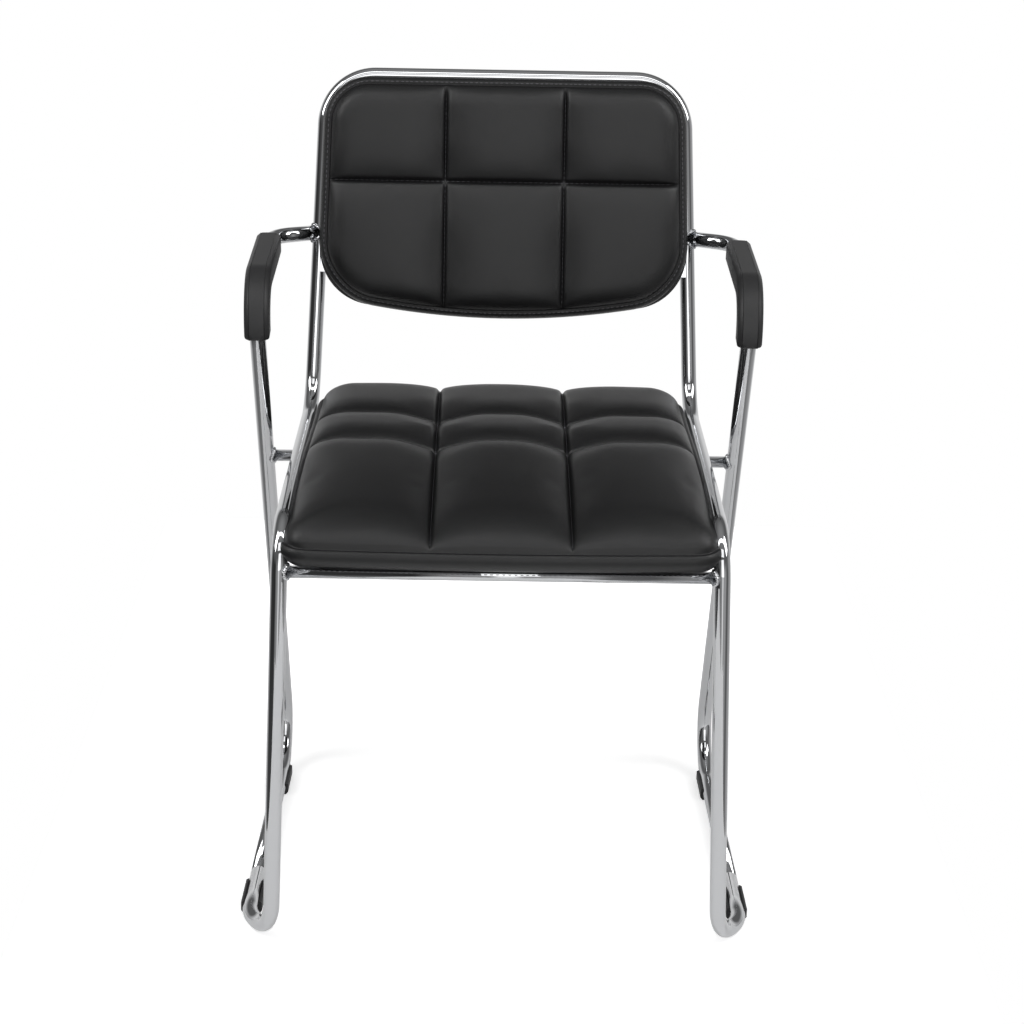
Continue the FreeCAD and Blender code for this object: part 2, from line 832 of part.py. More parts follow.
def seat_row(name, start, end, crown):
    """One row of the seat, between two sewn lines across it."""

    def section_at(share):
        """The seat's section at this share of the row."""
        along = start + (end - start) * share
        drop = max(size("seat_bend_y") - along, 0) * math.tan(math.radians(size("seat_drop_angle")))
        low = seat_underside() - drop
        seam = low + size("seat_band")
        travel = (along - size("seat_rear_y")) / (size("seat_front_y") - size("seat_rear_y"))
        half = size("seat_rear_half") + (size("seat_front_half") - size("seat_rear_half")) * travel
        valley = seam + size("seat_valley")
        crest = valley + size("seat_pucker") + crown * swell(share)
        return pillow_section(
            lambda across, up: Vector(across, along, up),
            low,
            half - size("seat_undercut"),
            half + size("seat_seam_overhang"),
            seam,
            size("seat_channel_x"),
            valley + size("seat_pucker") * swell(share),
            crest,
        )

    return pillow_row(name, section_at)


seat_lines = [size("seat_rear_y"), size("seat_channel_y"), size("seat_bend_y"), size("seat_front_y")]
seat_crowns = [size("seat_crown"), size("seat_crown"), size("seat_front_crown")]
seat_rows = [
    seat_row(f"seat_row_{number + 1}", seat_lines[number], seat_lines[number + 1], seat_crowns[number])
    for number in range(len(seat_crowns))
]

seat_plan_low = seat_underside() - size("seat_plan_depth")
seat_plan = new_body("seat_plan", Placement(Vector(0, 0, seat_plan_low), Rotation()))
seat_plan_sketch = outline_sketch(
    seat_plan,
    "XY_Plane",
    "seat_plan_outline",
    [
        ("-Sheet.seat_front_half", "Sheet.seat_front_y + Sheet.seat_end_bow"),
        ("Sheet.seat_front_half", "Sheet.seat_front_y + Sheet.seat_end_bow"),
        ("Sheet.seat_rear_half", "Sheet.seat_rear_y - Sheet.seat_end_bow"),
        ("-Sheet.seat_rear_half", "Sheet.seat_rear_y - Sheet.seat_end_bow"),
    ],
    {
        0: "Sheet.seat_end_bow",
        1: "-Sheet.seat_side_draw",
        2: "Sheet.seat_end_bow",
        3: "-Sheet.seat_side_draw",
    },
)
seat_prism = padded(seat_plan, seat_plan_sketch, "2 * Sheet.seat_plan_depth")


def upright_edge(front):
    """A test that picks a prism's corner edges at its front or its rear."""

    def wanted(edge):
        """True for a straight edge along Z on the asked side of the middle."""
        first, last = (vertex.Point for vertex in edge.Vertexes)
        upright = abs(first.z - last.z) > NEAR and abs(first.x - last.x) < NEAR
        return upright and (middle_of(edge).y < 0) == front

    return wanted


seat_front_rounded = round_edges(seat_plan, seat_prism, "Sheet.seat_front_corner", upright_edge(True))
round_edges(seat_plan, seat_front_rounded, "Sheet.seat_rear_corner", upright_edge(False))

seat_quilt = doc.addObject("Part::MultiCommon", "seat_quilt")
seat_quilt.Shapes = [fuse("seat_rows", seat_rows), seat_plan]
RELIEF = "Sheet.tube_diameter / 2 + Sheet.foam_clearance"
rail_relief = bent_rod("rail_relief", main_corners, main_bends, RELIEF)
keep(cut("seat_cushion", seat_quilt, seat_recess, rail_relief), "seat_cushion")


# Back, drawn on the plane of the hoop with its own Y up the lean and its own Z to the front


def hoop_lean():
    """Angle in degrees by which the hoop leans back from upright."""
    top = frame_point("hoop", 1)
    low = frame_point("rail_rear", 1)
    return math.degrees(math.atan2(top.y - low.y, top.z - low.z))


back_plane = Placement(Vector(0, size("hoop_y"), size("hoop_z")), Rotation(Vector(1, 0, 0), 90 - hoop_lean()))
TUBE_FRONT = "Sheet.tube_diameter / 2"
HOOP_LENGTH = "sqrt((Sheet.hoop_z - Sheet.rail_rear_z) ^ 2 + (Sheet.hoop_y - Sheet.rail_rear_y) ^ 2)"
HOOP_SPREAD = f"((Sheet.rail_rear_x - Sheet.hoop_x) / {HOOP_LENGTH})"
BACK_TOP_HALF = "(Sheet.hoop_x + Sheet.back_top_overhang)"
BACK_BOTTOM_HALF = f"(Sheet.hoop_x - Sheet.back_bottom * {HOOP_SPREAD} + Sheet.back_bottom_overhang)"
BOARD_REAR = f"({TUBE_FRONT} + Sheet.back_cover_thickness)"


def on_back(across, up, forward):
    """A place on the back: across the hoop, up its lean, and forward of its plane."""
    return back_plane * Placement(Vector(across, up, forward), Rotation())


def back_outline(name, inset, rear, thickness):
    """A solid with the back's outline, drawn in by inset, from rear forward."""
    body = new_body(name, on_back(0, 0, amount(rear)))
    sketch = outline_sketch(
        body,
        "XY_Plane",
        name + "_outline",
        [
            (f"-{BACK_BOTTOM_HALF} + {inset}", f"Sheet.back_bottom + {inset}"),
            (f"{BACK_BOTTOM_HALF} - {inset}", f"Sheet.back_bottom + {inset}"),
            (f"{BACK_TOP_HALF} - {inset}", f"Sheet.back_top - {inset}"),
            (f"-{BACK_TOP_HALF} + {inset}", f"Sheet.back_top - {inset}"),
        ],
        {0: "Sheet.back_bottom_bow"},
    )
    prism = padded(body, sketch, thickness)
    halfway = (size("back_top") + size("back_bottom")) / 2

    def corner(top):
        """A test that picks the prism's two upper or two lower corner edges."""

        def wanted(edge):
            """True for an edge along the prism's depth on the asked side."""
            first, last = (vertex.Point for vertex in edge.Vertexes)
            return abs(first.z - last.z) > NEAR and (middle_of(edge).y > halfway) == top

        return wanted

    lower = round_edges(body, prism, f"Sheet.back_bottom_corner - {inset}", corner(False))
    upper = round_edges(body, lower, f"Sheet.back_top_corner - {inset}", corner(True))
    return body, upper


def back_row(name, start, end):
    """One row of the back, between two sewn lines across it."""

    def section_at(share):
        """The back's section at this share of the row."""
        up = start + (end - start) * share
        low = amount(BOARD_REAR)
        seam = low + size("back_band")
        half = amount(BACK_BOTTOM_HALF) + size("back_shoulder")
        valley = seam + size("back_valley")
        crest = valley + size("back_pucker") + size("back_crown") * swell(share)
        return pillow_section(
            lambda across, forward: on_back(across, up, forward).Base,
            low,
            half,
            half,
            seam,
            size("back_channel_x"),
            valley + size("back_pucker") * swell(share),
            crest,
        )

    return pillow_row(name, section_at)


back_low = size("back_bottom") - size("back_bottom_bow")
back_lines = [size("back_top"), size("back_channel_height"), back_low]
back_rows = [
    back_row("back_row_upper", back_lines[0], back_lines[1]),
    back_row("back_row_lower", back_lines[1], back_lines[2]),
]
BACK_DEPTH = "Sheet.back_band + Sheet.back_valley + 2 * Sheet.back_pucker + Sheet.back_crown"
back_block, back_sides = back_outline("back_block", "0", BOARD_REAR, BACK_DEPTH)
front_face = amount(BACK_DEPTH)


def on_front_face(edge):
    """True for an edge that lies in the block's front face."""
    return all(abs(vertex.Point.z - front_face) < NEAR for vertex in edge.Vertexes)


round_edges(back_block, back_sides, "Sheet.back_shoulder", on_front_face)
back_quilt = doc.addObject("Part::MultiCommon", "back_quilt")
back_quilt.Shapes = [fuse("back_rows", back_rows), back_block]

back_board, _ = back_outline(
    "back_board_blank",
    "Sheet.back_board_margin",
    BOARD_REAR,
    "Sheet.back_board_thickness",
)
back_recess, _ = back_outline(
    "back_recess",
    "(Sheet.back_board_margin - Sheet.foam_clearance)",
    f"{BOARD_REAR} - Sheet.back_cover_thickness",
    "Sheet.back_board_thickness + Sheet.foam_clearance + Sheet.back_cover_thickness",
)
keep(cut("back_cushion", back_quilt, back_recess), "back_cushion")
back_cover, _ = back_outline(
    "back_cover_blank",
    "Sheet.back_cover_margin",
    TUBE_FRONT,
    "Sheet.back_cover_thickness",
)


# Lugs and fasteners of the back

back_lugs, back_screws, back_washers, back_nuts, back_sockets, back_holes = [], [], [], [], [], []
BACK_SCREW_LENGTH = (
    "Sheet.washer_thickness + Sheet.lug_thickness + Sheet.lug_setback + Sheet.back_cover_thickness"
    " + Sheet.back_board_thickness - Sheet.screw_shortfall"
)
tube_radius = size("tube_diameter") / 2
back_lug_rear = tube_radius - size("lug_setback") - size("lug_thickness")
for row_name, up in (("upper", size("back_lug_upper")), ("lower", size("back_lug_lower"))):
    for word, side in SIDES:
        tag = f"{row_name}_{word}"
        tube_x = hoop_point(1, on_back(0, up, 0).Base.z).x
        share = (up - size("back_top")) / (size("back_bottom") - size("back_top"))
        board_half = amount(BACK_TOP_HALF) + (amount(BACK_BOTTOM_HALF) - amount(BACK_TOP_HALF)) * share
        screw_x = board_half - size("back_screw_inset")
        reach = tube_x - screw_x + size("lug_end")
        inner = tube_x - reach if side > 0 else -tube_x
        corner = on_back(inner, up - size("lug_width") / 2, back_lug_rear)
        axis = on_back(side * screw_x, up, 0)
        hole = clearance_hole(f"back_hole_{tag}", axis, "Sheet.tube_diameter * 2")
        back_lugs.append(lug(f"back_lug_{tag}", corner, reach, size("lug_width"), main_outside, hole))
        back_holes.append(hole)
        under = axis * Placement(Vector(0, 0, back_lug_rear - size("washer_thickness")), Rotation())
        back_screws.append(screw(f"back_screw_{tag}", "screw", under, BACK_SCREW_LENGTH))
        back_washers.append(washer(f"back_washer_{tag}", under, hole))
        face = axis * Placement(Vector(0, 0, amount(BOARD_REAR)), Rotation())
        back_nuts.append(tee_nut(f"back_nut_{tag}", face, "Sheet.back_board_thickness"))
        back_sockets.append(nut_socket(f"back_socket_{tag}", face, "Sheet.back_board_thickness"))
group("back_lugs", back_lugs)
group("back_screws", back_screws)
group("back_washers", back_washers)
group("back_t_nuts", back_nuts)
keep(cut("back_board", back_board, *back_sockets), "back_board")
keep(cut("back_rear_cover", back_cover, *back_holes), "back_rear_cover")


# Arm pads


def arm_pad(word, side):
    """A moulded channel that covers the arm tube from above and runs down the front of the rear leg."""
    rear = frame_point("arm_rear", side)
    knee = frame_point("arm_front", side)
    floor_end = frame_point("runner_rear", side, runner_height())
    start = between(knee, rear, 1, size("pad_rear_y"))
    back_axis = (rear - knee).normalize()
    side_axis = back_axis.cross((knee - floor_end).normalize()).normalize()
    up_axis = side_axis.cross(back_axis)
    body = new_body(f"arm_pad_{word}_body", Placement(start, Rotation(side_axis, back_axis, up_axis, "YZX")))
    wide = "Sheet.pad_width / 2"
    slot = "(Sheet.tube_diameter / 2 + Sheet.pad_clearance)"
    nest = "Sheet.pad_nest"
    section = outline_sketch(
        body,
        "XZ_Plane",
        f"arm_pad_{word}_section",
        [
            (f"-{wide}", "-Sheet.pad_depth"),
            (f"-{slot}", "-Sheet.pad_depth"),
            (f"-{slot}", nest),
            (f"-{slot} + {nest}", slot),
            (f"{slot} - {nest}", slot),
            (slot, nest),
            (slot, "-Sheet.pad_depth"),
            (wide, "-Sheet.pad_depth"),
            (wide, "Sheet.pad_rise - Sheet.pad_chamfer"),
            (f"{wide} - Sheet.pad_chamfer", "Sheet.pad_rise"),
            (f"-{wide} + Sheet.pad_chamfer", "Sheet.pad_rise"),
            (f"-{wide}", "Sheet.pad_rise - Sheet.pad_chamfer"),
        ],
    )
    turn = (floor_end - knee).getAngle(rear - knee)
    run = (start - knee).Length - size("arm_front_radius") / math.tan(turn / 2)
    radius = size("arm_front_radius")
    wrap = math.radians(size("pad_wrap"))
    spine = sketch_on(body, "YZ_Plane", f"arm_pad_{word}_spine")
    arc_start = Vector(-run, 0, 0)
    arc_points = [
        arc_start + Vector(-radius * math.sin(angle), radius * (math.cos(angle) - 1), 0)
        for angle in (0, wrap / 2, wrap)
    ]
    spine.addGeometry(Part.LineSegment(Vector(), arc_start))
    spine.addGeometry(Part.Arc(*arc_points))
    near, far = (1, 2) if spine.getPoint(1, 1).isEqual(arc_start, NEAR) else (2, 1)
    spine.addConstraint(Sketcher.Constraint("Coincident", -1, 1, 0, 1))
    spine.addConstraint(Sketcher.Constraint("Horizontal", 0))
    spine.addConstraint(Sketcher.Constraint("DistanceX", 0, 2, -1, 1, run))
    spine.addConstraint(Sketcher.Constraint("Tangent", 0, 2, 1, near))
    bind(spine, "Radius", "Sheet.arm_front_radius", 1)
    bind(spine, "DistanceY", "Sheet.arm_front_radius * (cos(Sheet.pad_wrap) - 1)", -1, 1, 1, far)
    doc.recompute()
    pipe = body.newObject("PartDesign::AdditivePipe", f"arm_pad_{word}_pipe")
    pipe.Profile = section
    pipe.Spine = (spine, ["Edge1", "Edge2"])
    doc.recompute()
    return body


PAD_REACH = "Sheet.tube_diameter + Sheet.pad_clearance + Sheet.pad_screw_bite"
pad_screws = []
for word, side in SIDES:
    pad = arm_pad(word, side)
    bites = []
    for number, place in enumerate(("pad_screw_rear", "pad_screw_front"), start=1):
        spot = arm_screw_place(side, size(place))
        under = Placement(spot - Vector(0, 0, tube_radius), Rotation())
        pad_screws.append(screw(f"pad_screw_{word}_{number}", "pad_screw", under, PAD_REACH))
        bites.append(
            cylinder(
                f"pad_bite_{word}_{number}",
                "Sheet.pad_screw_diameter / 2 + Sheet.pad_hole_clearance",
                f"{PAD_REACH} + Sheet.pad_clearance",
                under,
            )
        )
    keep(cut(f"arm_pad_{word}", pad, *bites), f"arm_pad_{word}")
group("arm_pad_screws", pad_screws)


# Check every object, then write one file per piece

doc.recompute()
for item in doc.Objects:
    if "Invalid" in item.State or "Error" in item.State:
        raise RuntimeError(f"{item.Label} did not build: {item.State}")
for node in NODES:
    if node.Shape.isNull() or not node.Shape.isValid() or not node.Shape.Solids:
        raise RuntimeError(f"{node.Label} has no valid solid")

os.makedirs("parts", exist_ok=True)
for node in NODES:
    node.Shape.exportStep(f"parts/{node.Label}.step")
    box = node.Shape.BoundBox
    print(
        f"{node.Label}: {len(node.Shape.Solids)} solids, {node.Shape.Volume / 1000:.2f} cm3,"
        f" x {box.XMin:.1f} {box.XMax:.1f} y {box.YMin:.1f} {box.YMax:.1f} z {box.ZMin:.1f} {box.ZMax:.1f}"
    )
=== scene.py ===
"""Looks of the sled base visitor chair: chromed bent tube, quilted cushions and moulded arm pads.

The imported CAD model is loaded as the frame. The tubes, welds, cushions and arm pads are modelled again
with smooth surfaces, and every other CAD piece gets its material here.
"""

import json
import logging
import math
from dataclasses import dataclass
from enum import Enum
from functools import cache, partial

import bpy
import numpy as np
from bpy.types import ID, Material, Node, NodeSocket, NodeTree, Object
from mathutils import Matrix, Vector, noise


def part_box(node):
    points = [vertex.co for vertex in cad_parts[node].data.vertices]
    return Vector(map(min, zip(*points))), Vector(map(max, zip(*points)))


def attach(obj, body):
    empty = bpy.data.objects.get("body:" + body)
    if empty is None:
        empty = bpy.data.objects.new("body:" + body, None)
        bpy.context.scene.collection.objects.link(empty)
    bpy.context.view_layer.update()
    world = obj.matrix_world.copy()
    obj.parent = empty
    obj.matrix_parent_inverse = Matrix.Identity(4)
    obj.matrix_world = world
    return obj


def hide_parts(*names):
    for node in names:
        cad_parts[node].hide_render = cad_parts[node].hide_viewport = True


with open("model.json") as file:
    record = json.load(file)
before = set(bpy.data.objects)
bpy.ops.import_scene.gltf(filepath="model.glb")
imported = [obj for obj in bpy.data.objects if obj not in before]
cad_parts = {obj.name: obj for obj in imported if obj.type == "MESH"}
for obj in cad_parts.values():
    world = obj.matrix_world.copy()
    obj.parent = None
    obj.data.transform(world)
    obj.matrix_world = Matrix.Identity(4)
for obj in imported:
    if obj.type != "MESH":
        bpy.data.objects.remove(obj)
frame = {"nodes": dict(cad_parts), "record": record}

MM = 0.001
LOG = logging.getLogger("visitor_chair")
LEFT, RIGHT = -1, 1
SIDES = {"left": LEFT, "right": RIGHT}


# Colour and material helpers


def linear(code: str) -> tuple[float, float, float, float]:
    """Turn a display colour such as "2c2c2c" into linear red, green and blue with full opacity."""
    channels = [int(code[place : place + 2], 16) / 255 for place in (0, 2, 4)]
    values = [c / 12.92 if c <= 0.04045 else ((c + 0.055) / 1.055) ** 2.4 for c in channels]
    return (*values, 1.0)


def add_node(
    tree: NodeTree, kind: str, inputs: dict | None = None, **settings
) -> Node:
    """Add a shader node, then set its properties and its inputs.

    Args:
        tree: The node tree that takes the node.
        kind: The node's type name.
        inputs: Values or output sockets by input name or number; a socket is linked.
        settings: Properties of the node itself.

    Returns:
        The new node.
    """
    node = tree.nodes.new(kind)
    for name, value in settings.items():
        setattr(node, name, value)
    for name, value in (inputs or {}).items():
        if isinstance(value, NodeSocket):
            tree.links.new(value, node.inputs[name])
        else:
            node.inputs[name].default_value = value
    return node


def mix_colours(
    tree: NodeTree, factor: NodeSocket, first: object, second: object
) -> NodeSocket:
    """Mix two colours or colour sockets by a factor, and give the socket of the result."""
    inputs = {"Factor": factor, "A": first, "B": second}
    return add_node(tree, "ShaderNodeMix", inputs, data_type="RGBA").outputs["Result"]


class Texture(Enum):
    """How the fine surface of a material is drawn."""

    GRAIN = "grain"
    SPARK = "spark"
    WAVES = "waves"
    FIBRES = "fibres"
    VENEER = "veneer"
    BRUSHED = "brushed"


@dataclass(frozen=True)
class Finish:
    """One material: what it is made of and how its surface was made.

    The pitch and depth of its relief are in metres, and a second colour is mixed in along the relief.
    """

    name: str
    colour: str
    roughness: float
    texture: Texture
    pitch: float
    depth: float
    metallic: float = 0.0
    second: str | None = None


# Bright chromium plated over polished steel tube; only a faint waviness is left from bending
CHROME = Finish("chromium_plated_polished_tube", "cfd0d2", 0.045, Texture.WAVES, 30 * MM, 0.02 * MM, 1.0)
# The same plating over the ripples of a weld bead, a little duller
CHROME_WELD = Finish("chromium_plated_weld_bead", "c4c5c8", 0.12, Texture.SPARK, 0.8 * MM, 0.02 * MM, 1.0)
# Polyurethane film, calendered with a fine leather grain on a knitted back
LEATHERETTE = Finish(
    "imitation_leather_calendered_grain", "121213", 0.37, Texture.GRAIN, 0.9 * MM, 0.055 * MM
)
# Twisted polyester sewing thread. The real thread is black; its lighter grey colour is painted sheen.
THREAD_PAINTED_SHEEN = Finish("polyester_thread_painted_sheen", "58585c", 0.55, Texture.FIBRES, 0.4 * MM, 0.02 * MM)
# Polypropylene, injection moulded in a spark-eroded tool
MOULDED = Finish("polypropylene_moulded_spark_grain", "262627", 0.5, Texture.SPARK, 0.5 * MM, 0.03 * MM)
# Steel turned to size and left bare inside the tube
BARE_STEEL = Finish("mild_steel_turned", "8f9092", 0.32, Texture.BRUSHED, 0.3 * MM, 0.01 * MM, 1.0)
# Electroplated zinc on rolled screws, nuts and stamped washers
ZINC = Finish("steel_zinc_electroplated", "b3b4ae", 0.3, Texture.SPARK, 0.4 * MM, 0.01 * MM, 1.0)
# Bent birch plywood with a sanded rotary veneer
PLYWOOD = Finish("birch_plywood_sanded", "c9a877", 0.62, Texture.VENEER, 4 * MM, 0.03 * MM, 0.0, "b28c59")
# Spun-bonded polypropylene sheet, stapled on
DUST_CLOTH = Finish("polypropylene_cloth_spun_bonded", "161617", 0.85, Texture.FIBRES, 0.5 * MM, 0.04 * MM)
# Pressed fibre board wrapped in the same film as the cushions
SHELL = Finish("fibre_board_film_wrapped", "171718", 0.5, Texture.GRAIN, 0.9 * MM, 0.04 * MM)

POLYMER_IOR = 1.5
# How much of the distance to a grain cell's edge is taken up by the valley between two cells
GRAIN_VALLEY = 0.12
# Scale along each axis that draws a texture out into streaks
STRETCHES = {
    Texture.VENEER: (1, 0.06, 1),
    Texture.BRUSHED: (1, 1, 0.05),
    Texture.FIBRES: (1, 0.35, 1),
}

SLOT_FINISHES = {
    "chrome_tube": CHROME,
    "chrome_lugs": CHROME,
    "steel_inner": BARE_STEEL,
    "zinc_fasteners": ZINC,
    "black_plastic": MOULDED,
    "black_leatherette": LEATHERETTE,
    "plywood": PLYWOOD,
    "dust_cloth": DUST_CLOTH,
    "black_shell": SHELL,
}


@cache
def material_of(finish: Finish) -> Material:
    """Build a finish's material at its first use: a Principled shader with a procedural bump."""
    material = bpy.data.materials.new(finish.name)
    material.use_nodes = True
    tree = material.node_tree
    shader = next(node for node in tree.nodes if node.type == "BSDF_PRINCIPLED")
    place = add_node(tree, "ShaderNodeTexCoord").outputs["Object"]
    height = relief(tree, finish, place)
    slopes = {"Height": height, "Distance": finish.depth, "Strength": 1.0}
    bump = add_node(tree, "ShaderNodeBump", slopes)
    tree.links.new(bump.outputs["Normal"], shader.inputs["Normal"])
    shader.inputs["Base Color"].default_value = linear(finish.colour)
    shader.inputs["Roughness"].default_value = finish.roughness
    shader.inputs["Metallic"].default_value = finish.metallic
    if not finish.metallic:
        shader.inputs["IOR"].default_value = POLYMER_IOR
    if finish.second:
        tint = mix_colours(tree, height, linear(finish.colour), linear(finish.second))
        tree.links.new(tint, shader.inputs["Base Color"])
    return material


def relief(tree: NodeTree, finish: Finish, place: NodeSocket) -> NodeSocket:
    """Add the texture that a finish's relief comes from.

    Args:
        tree: The material's node tree.
        finish: The material's description.
        place: The socket with the object's own coordinates.

    Returns:
        The socket that gives the height, from 0 to 1.
    """
    scale = 1 / finish.pitch
    if finish.texture is Texture.GRAIN:
        pattern = {"Vector": place, "Scale": scale}
        cells = add_node(tree, "ShaderNodeTexVoronoi", pattern, feature="DISTANCE_TO_EDGE")
        limits = {"Value": cells.outputs["Distance"], "From Max": GRAIN_VALLEY}
        return add_node(tree, "ShaderNodeMapRange", limits).outputs["Result"]
    if finish.texture in STRETCHES:
        stretch = {"Vector": place, "Scale": STRETCHES[finish.texture]}
        place = add_node(tree, "ShaderNodeMapping", stretch).outputs["Vector"]
    pattern = {"Vector": place, "Scale": scale, "Detail": 2.0, "Roughness": 0.5}
    return add_node(tree, "ShaderNodeTexNoise", pattern).outputs["Fac"]


# Geometry helpers

# Vertices, and the vertex numbers of each face
Form = tuple[list, list]
# Angle between two points of a bend
BEND_STEP = math.radians(4)
# How far past a bend another ring of points lies
STRAIGHT_MARGIN = 0.6 * MM


def show(name: str, data: ID) -> Object:
    """Put a new object with this mesh, lamp or camera into the scene."""
    item = bpy.data.objects.new(name, data)
    bpy.context.scene.collection.objects.link(item)
    return item


def make_mesh(name: str, form: Form, finish: Finish) -> Object:
    """Make a smooth mesh object that rides on the chair's only body.

    Args:
        name: The piece's name.
        form: Its points in metres, in the frame's coordinates, and its faces.
        finish: What the whole piece is made of.

    Returns:
        The new object.
    """
    vertices, faces = form
    mesh = bpy.data.meshes.new(name)
    mesh.from_pydata([tuple(point) for point in vertices], [], faces)
    mesh.polygons.foreach_set("use_smooth", [True] * len(mesh.polygons))
    mesh.materials.append(material_of(finish))
    mesh.update()
    piece = show(name, mesh)
    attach(piece, "root")
    return piece


def join_parts(parts: list[Form]) -> Form:
    """Put pairs of vertices and faces into one pair, with the faces renumbered."""
    vertices, faces = [], []
    for points, polygons in parts:
        offset = len(vertices)
        vertices.extend(points)
        faces.extend(tuple(number + offset for number in face) for face in polygons)
    return vertices, faces


def grid_faces(wide: int, tall: int) -> list[tuple]:
    """Faces of a grid of points that are listed row by row."""
    return [
        (j * wide + i, j * wide + i + 1, (j + 1) * wide + i + 1, (j + 1) * wide + i)
        for j in range(tall - 1)
        for i in range(wide - 1)
    ]


def ring_faces(rings: int, sides: int, closed: bool = False) -> list[tuple]:
    """Faces between rings of points, with a cap at each end unless the last ring joins the first."""
    faces = []
    for ring in range(rings if closed else rings - 1):
        low, high = ring * sides, (ring + 1) % rings * sides
        for number in range(sides):
            after = (number + 1) % sides
            faces.append((low + number, low + after, high + after, high + number))
    if not closed:
        faces.append(tuple(range(sides))[::-1])
        faces.append(tuple(range((rings - 1) * sides, rings * sides)))
    return faces


def bent_path(corners: list[Vector], radii: list[float]) -> list[Vector]:
    """Points along a tube's centre line, with each corner turned into an arc.

    Args:
        corners: Where the straight runs would meet, and the two ends.
        radii: Bend radius at each corner between the ends.

    Returns:
        The points, with two more just inside each straight run so that its shading stays straight.
    """
    points = [corners[0]]
    for before, corner, after, radius in zip(corners, corners[1:], corners[2:], radii):
        back = (before - corner).normalized()
        ahead = (after - corner).normalized()
        half = back.angle(ahead) / 2
        setback = radius / math.tan(half)
        centre = corner + (back + ahead).normalized() * (radius / math.sin(half))
        start = corner + back * setback
        sweep = math.pi - 2 * half
        axis = (start - centre).cross(-back).normalized()
        count = max(2, round(sweep / BEND_STEP))
        points.append(start + back * STRAIGHT_MARGIN)
        for number in range(count + 1):
            turn = Matrix.Rotation(sweep * number / count, 3, axis)
            points.append(centre + turn @ (start - centre))
        points.append(corner + ahead * (setback + STRAIGHT_MARGIN))
    points.append(corners[-1])
    return points


def tangents(points: list[Vector], closed: bool = False) -> list[Vector]:
    """Unit direction of a path, or of a closed ring, at each of its points."""
    count = len(points)
    result = []
    for number in range(count):
        if closed:
            behind, ahead = points[number - 1], points[(number + 1) % count]
            result.append((ahead - behind).normalized())
            continue
        before = points[number] - points[max(number - 1, 0)]
        after = points[min(number + 1, count - 1)] - points[number]
        result.append((before.normalized() + after.normalized()).normalized())
    return result


def round_sweep(
    points: list[Vector], radii: list[float], sides: int, closed: bool = False
) -> Form:
    """Carry a circle along a path without twisting it.

    Args:
        points: The centre line.
        radii: The circle's radius at each point.
        sides: Number of points round the circle.
        closed: Whether the path is a ring.

    Returns:
        Vertices and faces; the ends of an open path are closed.
    """
    headings = tangents(points, closed)
    side = headings[0].orthogonal().normalized()
    vertices = []
    previous = headings[0]
    for point, heading, radius in zip(points, headings, radii):
        side = previous.rotation_difference(heading) @ side
        side = (side - heading * side.dot(heading)).normalized()
        previous = heading
        across = heading.cross(side)
        for number in range(sides):
            angle = 2 * math.pi * number / sides
            vertices.append(point + (side * math.cos(angle) + across * math.sin(angle)) * radius)
    return vertices, ring_faces(len(points), sides, closed)


def between(first: Vector, second: Vector, axis: int, value: float) -> Vector:
    """The point where the line through two points reaches a value on one axis."""
    share = (value - first[axis]) / (second[axis] - first[axis])
    return first + (second - first) * share


def round_rise(share: float) -> float:
    """Rise of a quarter circle from 0 to 1 at this share of its width."""
    return math.sqrt(1 - (1 - min(max(share, 0.0), 1.0)) ** 2)


def even_stations(knots: list[float], counts: list[float]) -> np.ndarray:
    """Evenly spaced positions from each knot to the next, about as many as its count."""
    runs = [
        np.linspace(start, end, round(count), endpoint=False)
        for start, end, count in zip(knots, knots[1:], counts)
    ]
    return np.concatenate([*runs, [knots[-1]]])


def cubic_weights(wanted: list[float], given: np.ndarray) -> np.ndarray:
    """Weights that draw a smooth curve through given stations, one row for each wanted position."""
    weights = np.zeros((len(wanted), len(given)))
    last = len(given) - 1
    for number, place in enumerate(np.interp(wanted, given, range(len(given)))):
        start = min(int(place), last - 1)
        t = place - start
        shares = (
            (-t + 2 * t**2 - t**3) / 2,
            (2 - 5 * t**2 + 3 * t**3) / 2,
            (t + 4 * t**2 - 3 * t**3) / 2,
            (t**3 - t**2) / 2,
        )
        for step, share in enumerate(shares):
            weights[number, min(max(start - 1 + step, 0), last)] += share
    return weights


def smooth_step(value: float) -> float:
    """Rise smoothly from 0 to 1 as the value does."""
    held = min(max(value, 0.0), 1.0)
    return held * held * (3 - 2 * held)


# The tube frame


@dataclass(frozen=True)
class TubeSizes:
    """Centre line of the bent tubes, in millimetres: corners where the straight runs would meet."""

    radius: float = 8.0
    sides: int = 48
    bar_radius: float = 6.0
    # How deep the end of a bar or an arm is sunk in the tube that it is welded to
    sunk: float = 3.0
    # Height of the runners' centre line
    level: float = 10.5
    hoop: tuple = (190.0, 247.0, 782.0)
    hoop_bend: float = 54.0
    rail_rear: tuple = (204.5, 168.0, 437.0)
    rail_rear_bend: float = 50.0
    rail_front: tuple = (205.0, -238.0, 440.5)
    rail_front_bend: float = 45.0
    foot: tuple = (221.0, -226.0)
    foot_bend: float = 39.0
    toe_splay: float = 29.4
    toe_straight: float = 2.8
    toe_bend: float = 44.0
    runner_rear: tuple = (239.5, 219.0)
    runner_rear_bend: float = 54.0
    arm_front: tuple = (243.0, -50.0, 618.5)
    arm_front_bend: float = 42.0
    arm_rear: tuple = (247.0, 186.0, 619.0)
    arm_rear_bend: float = 32.0
    sleeve_y: float = -96.0


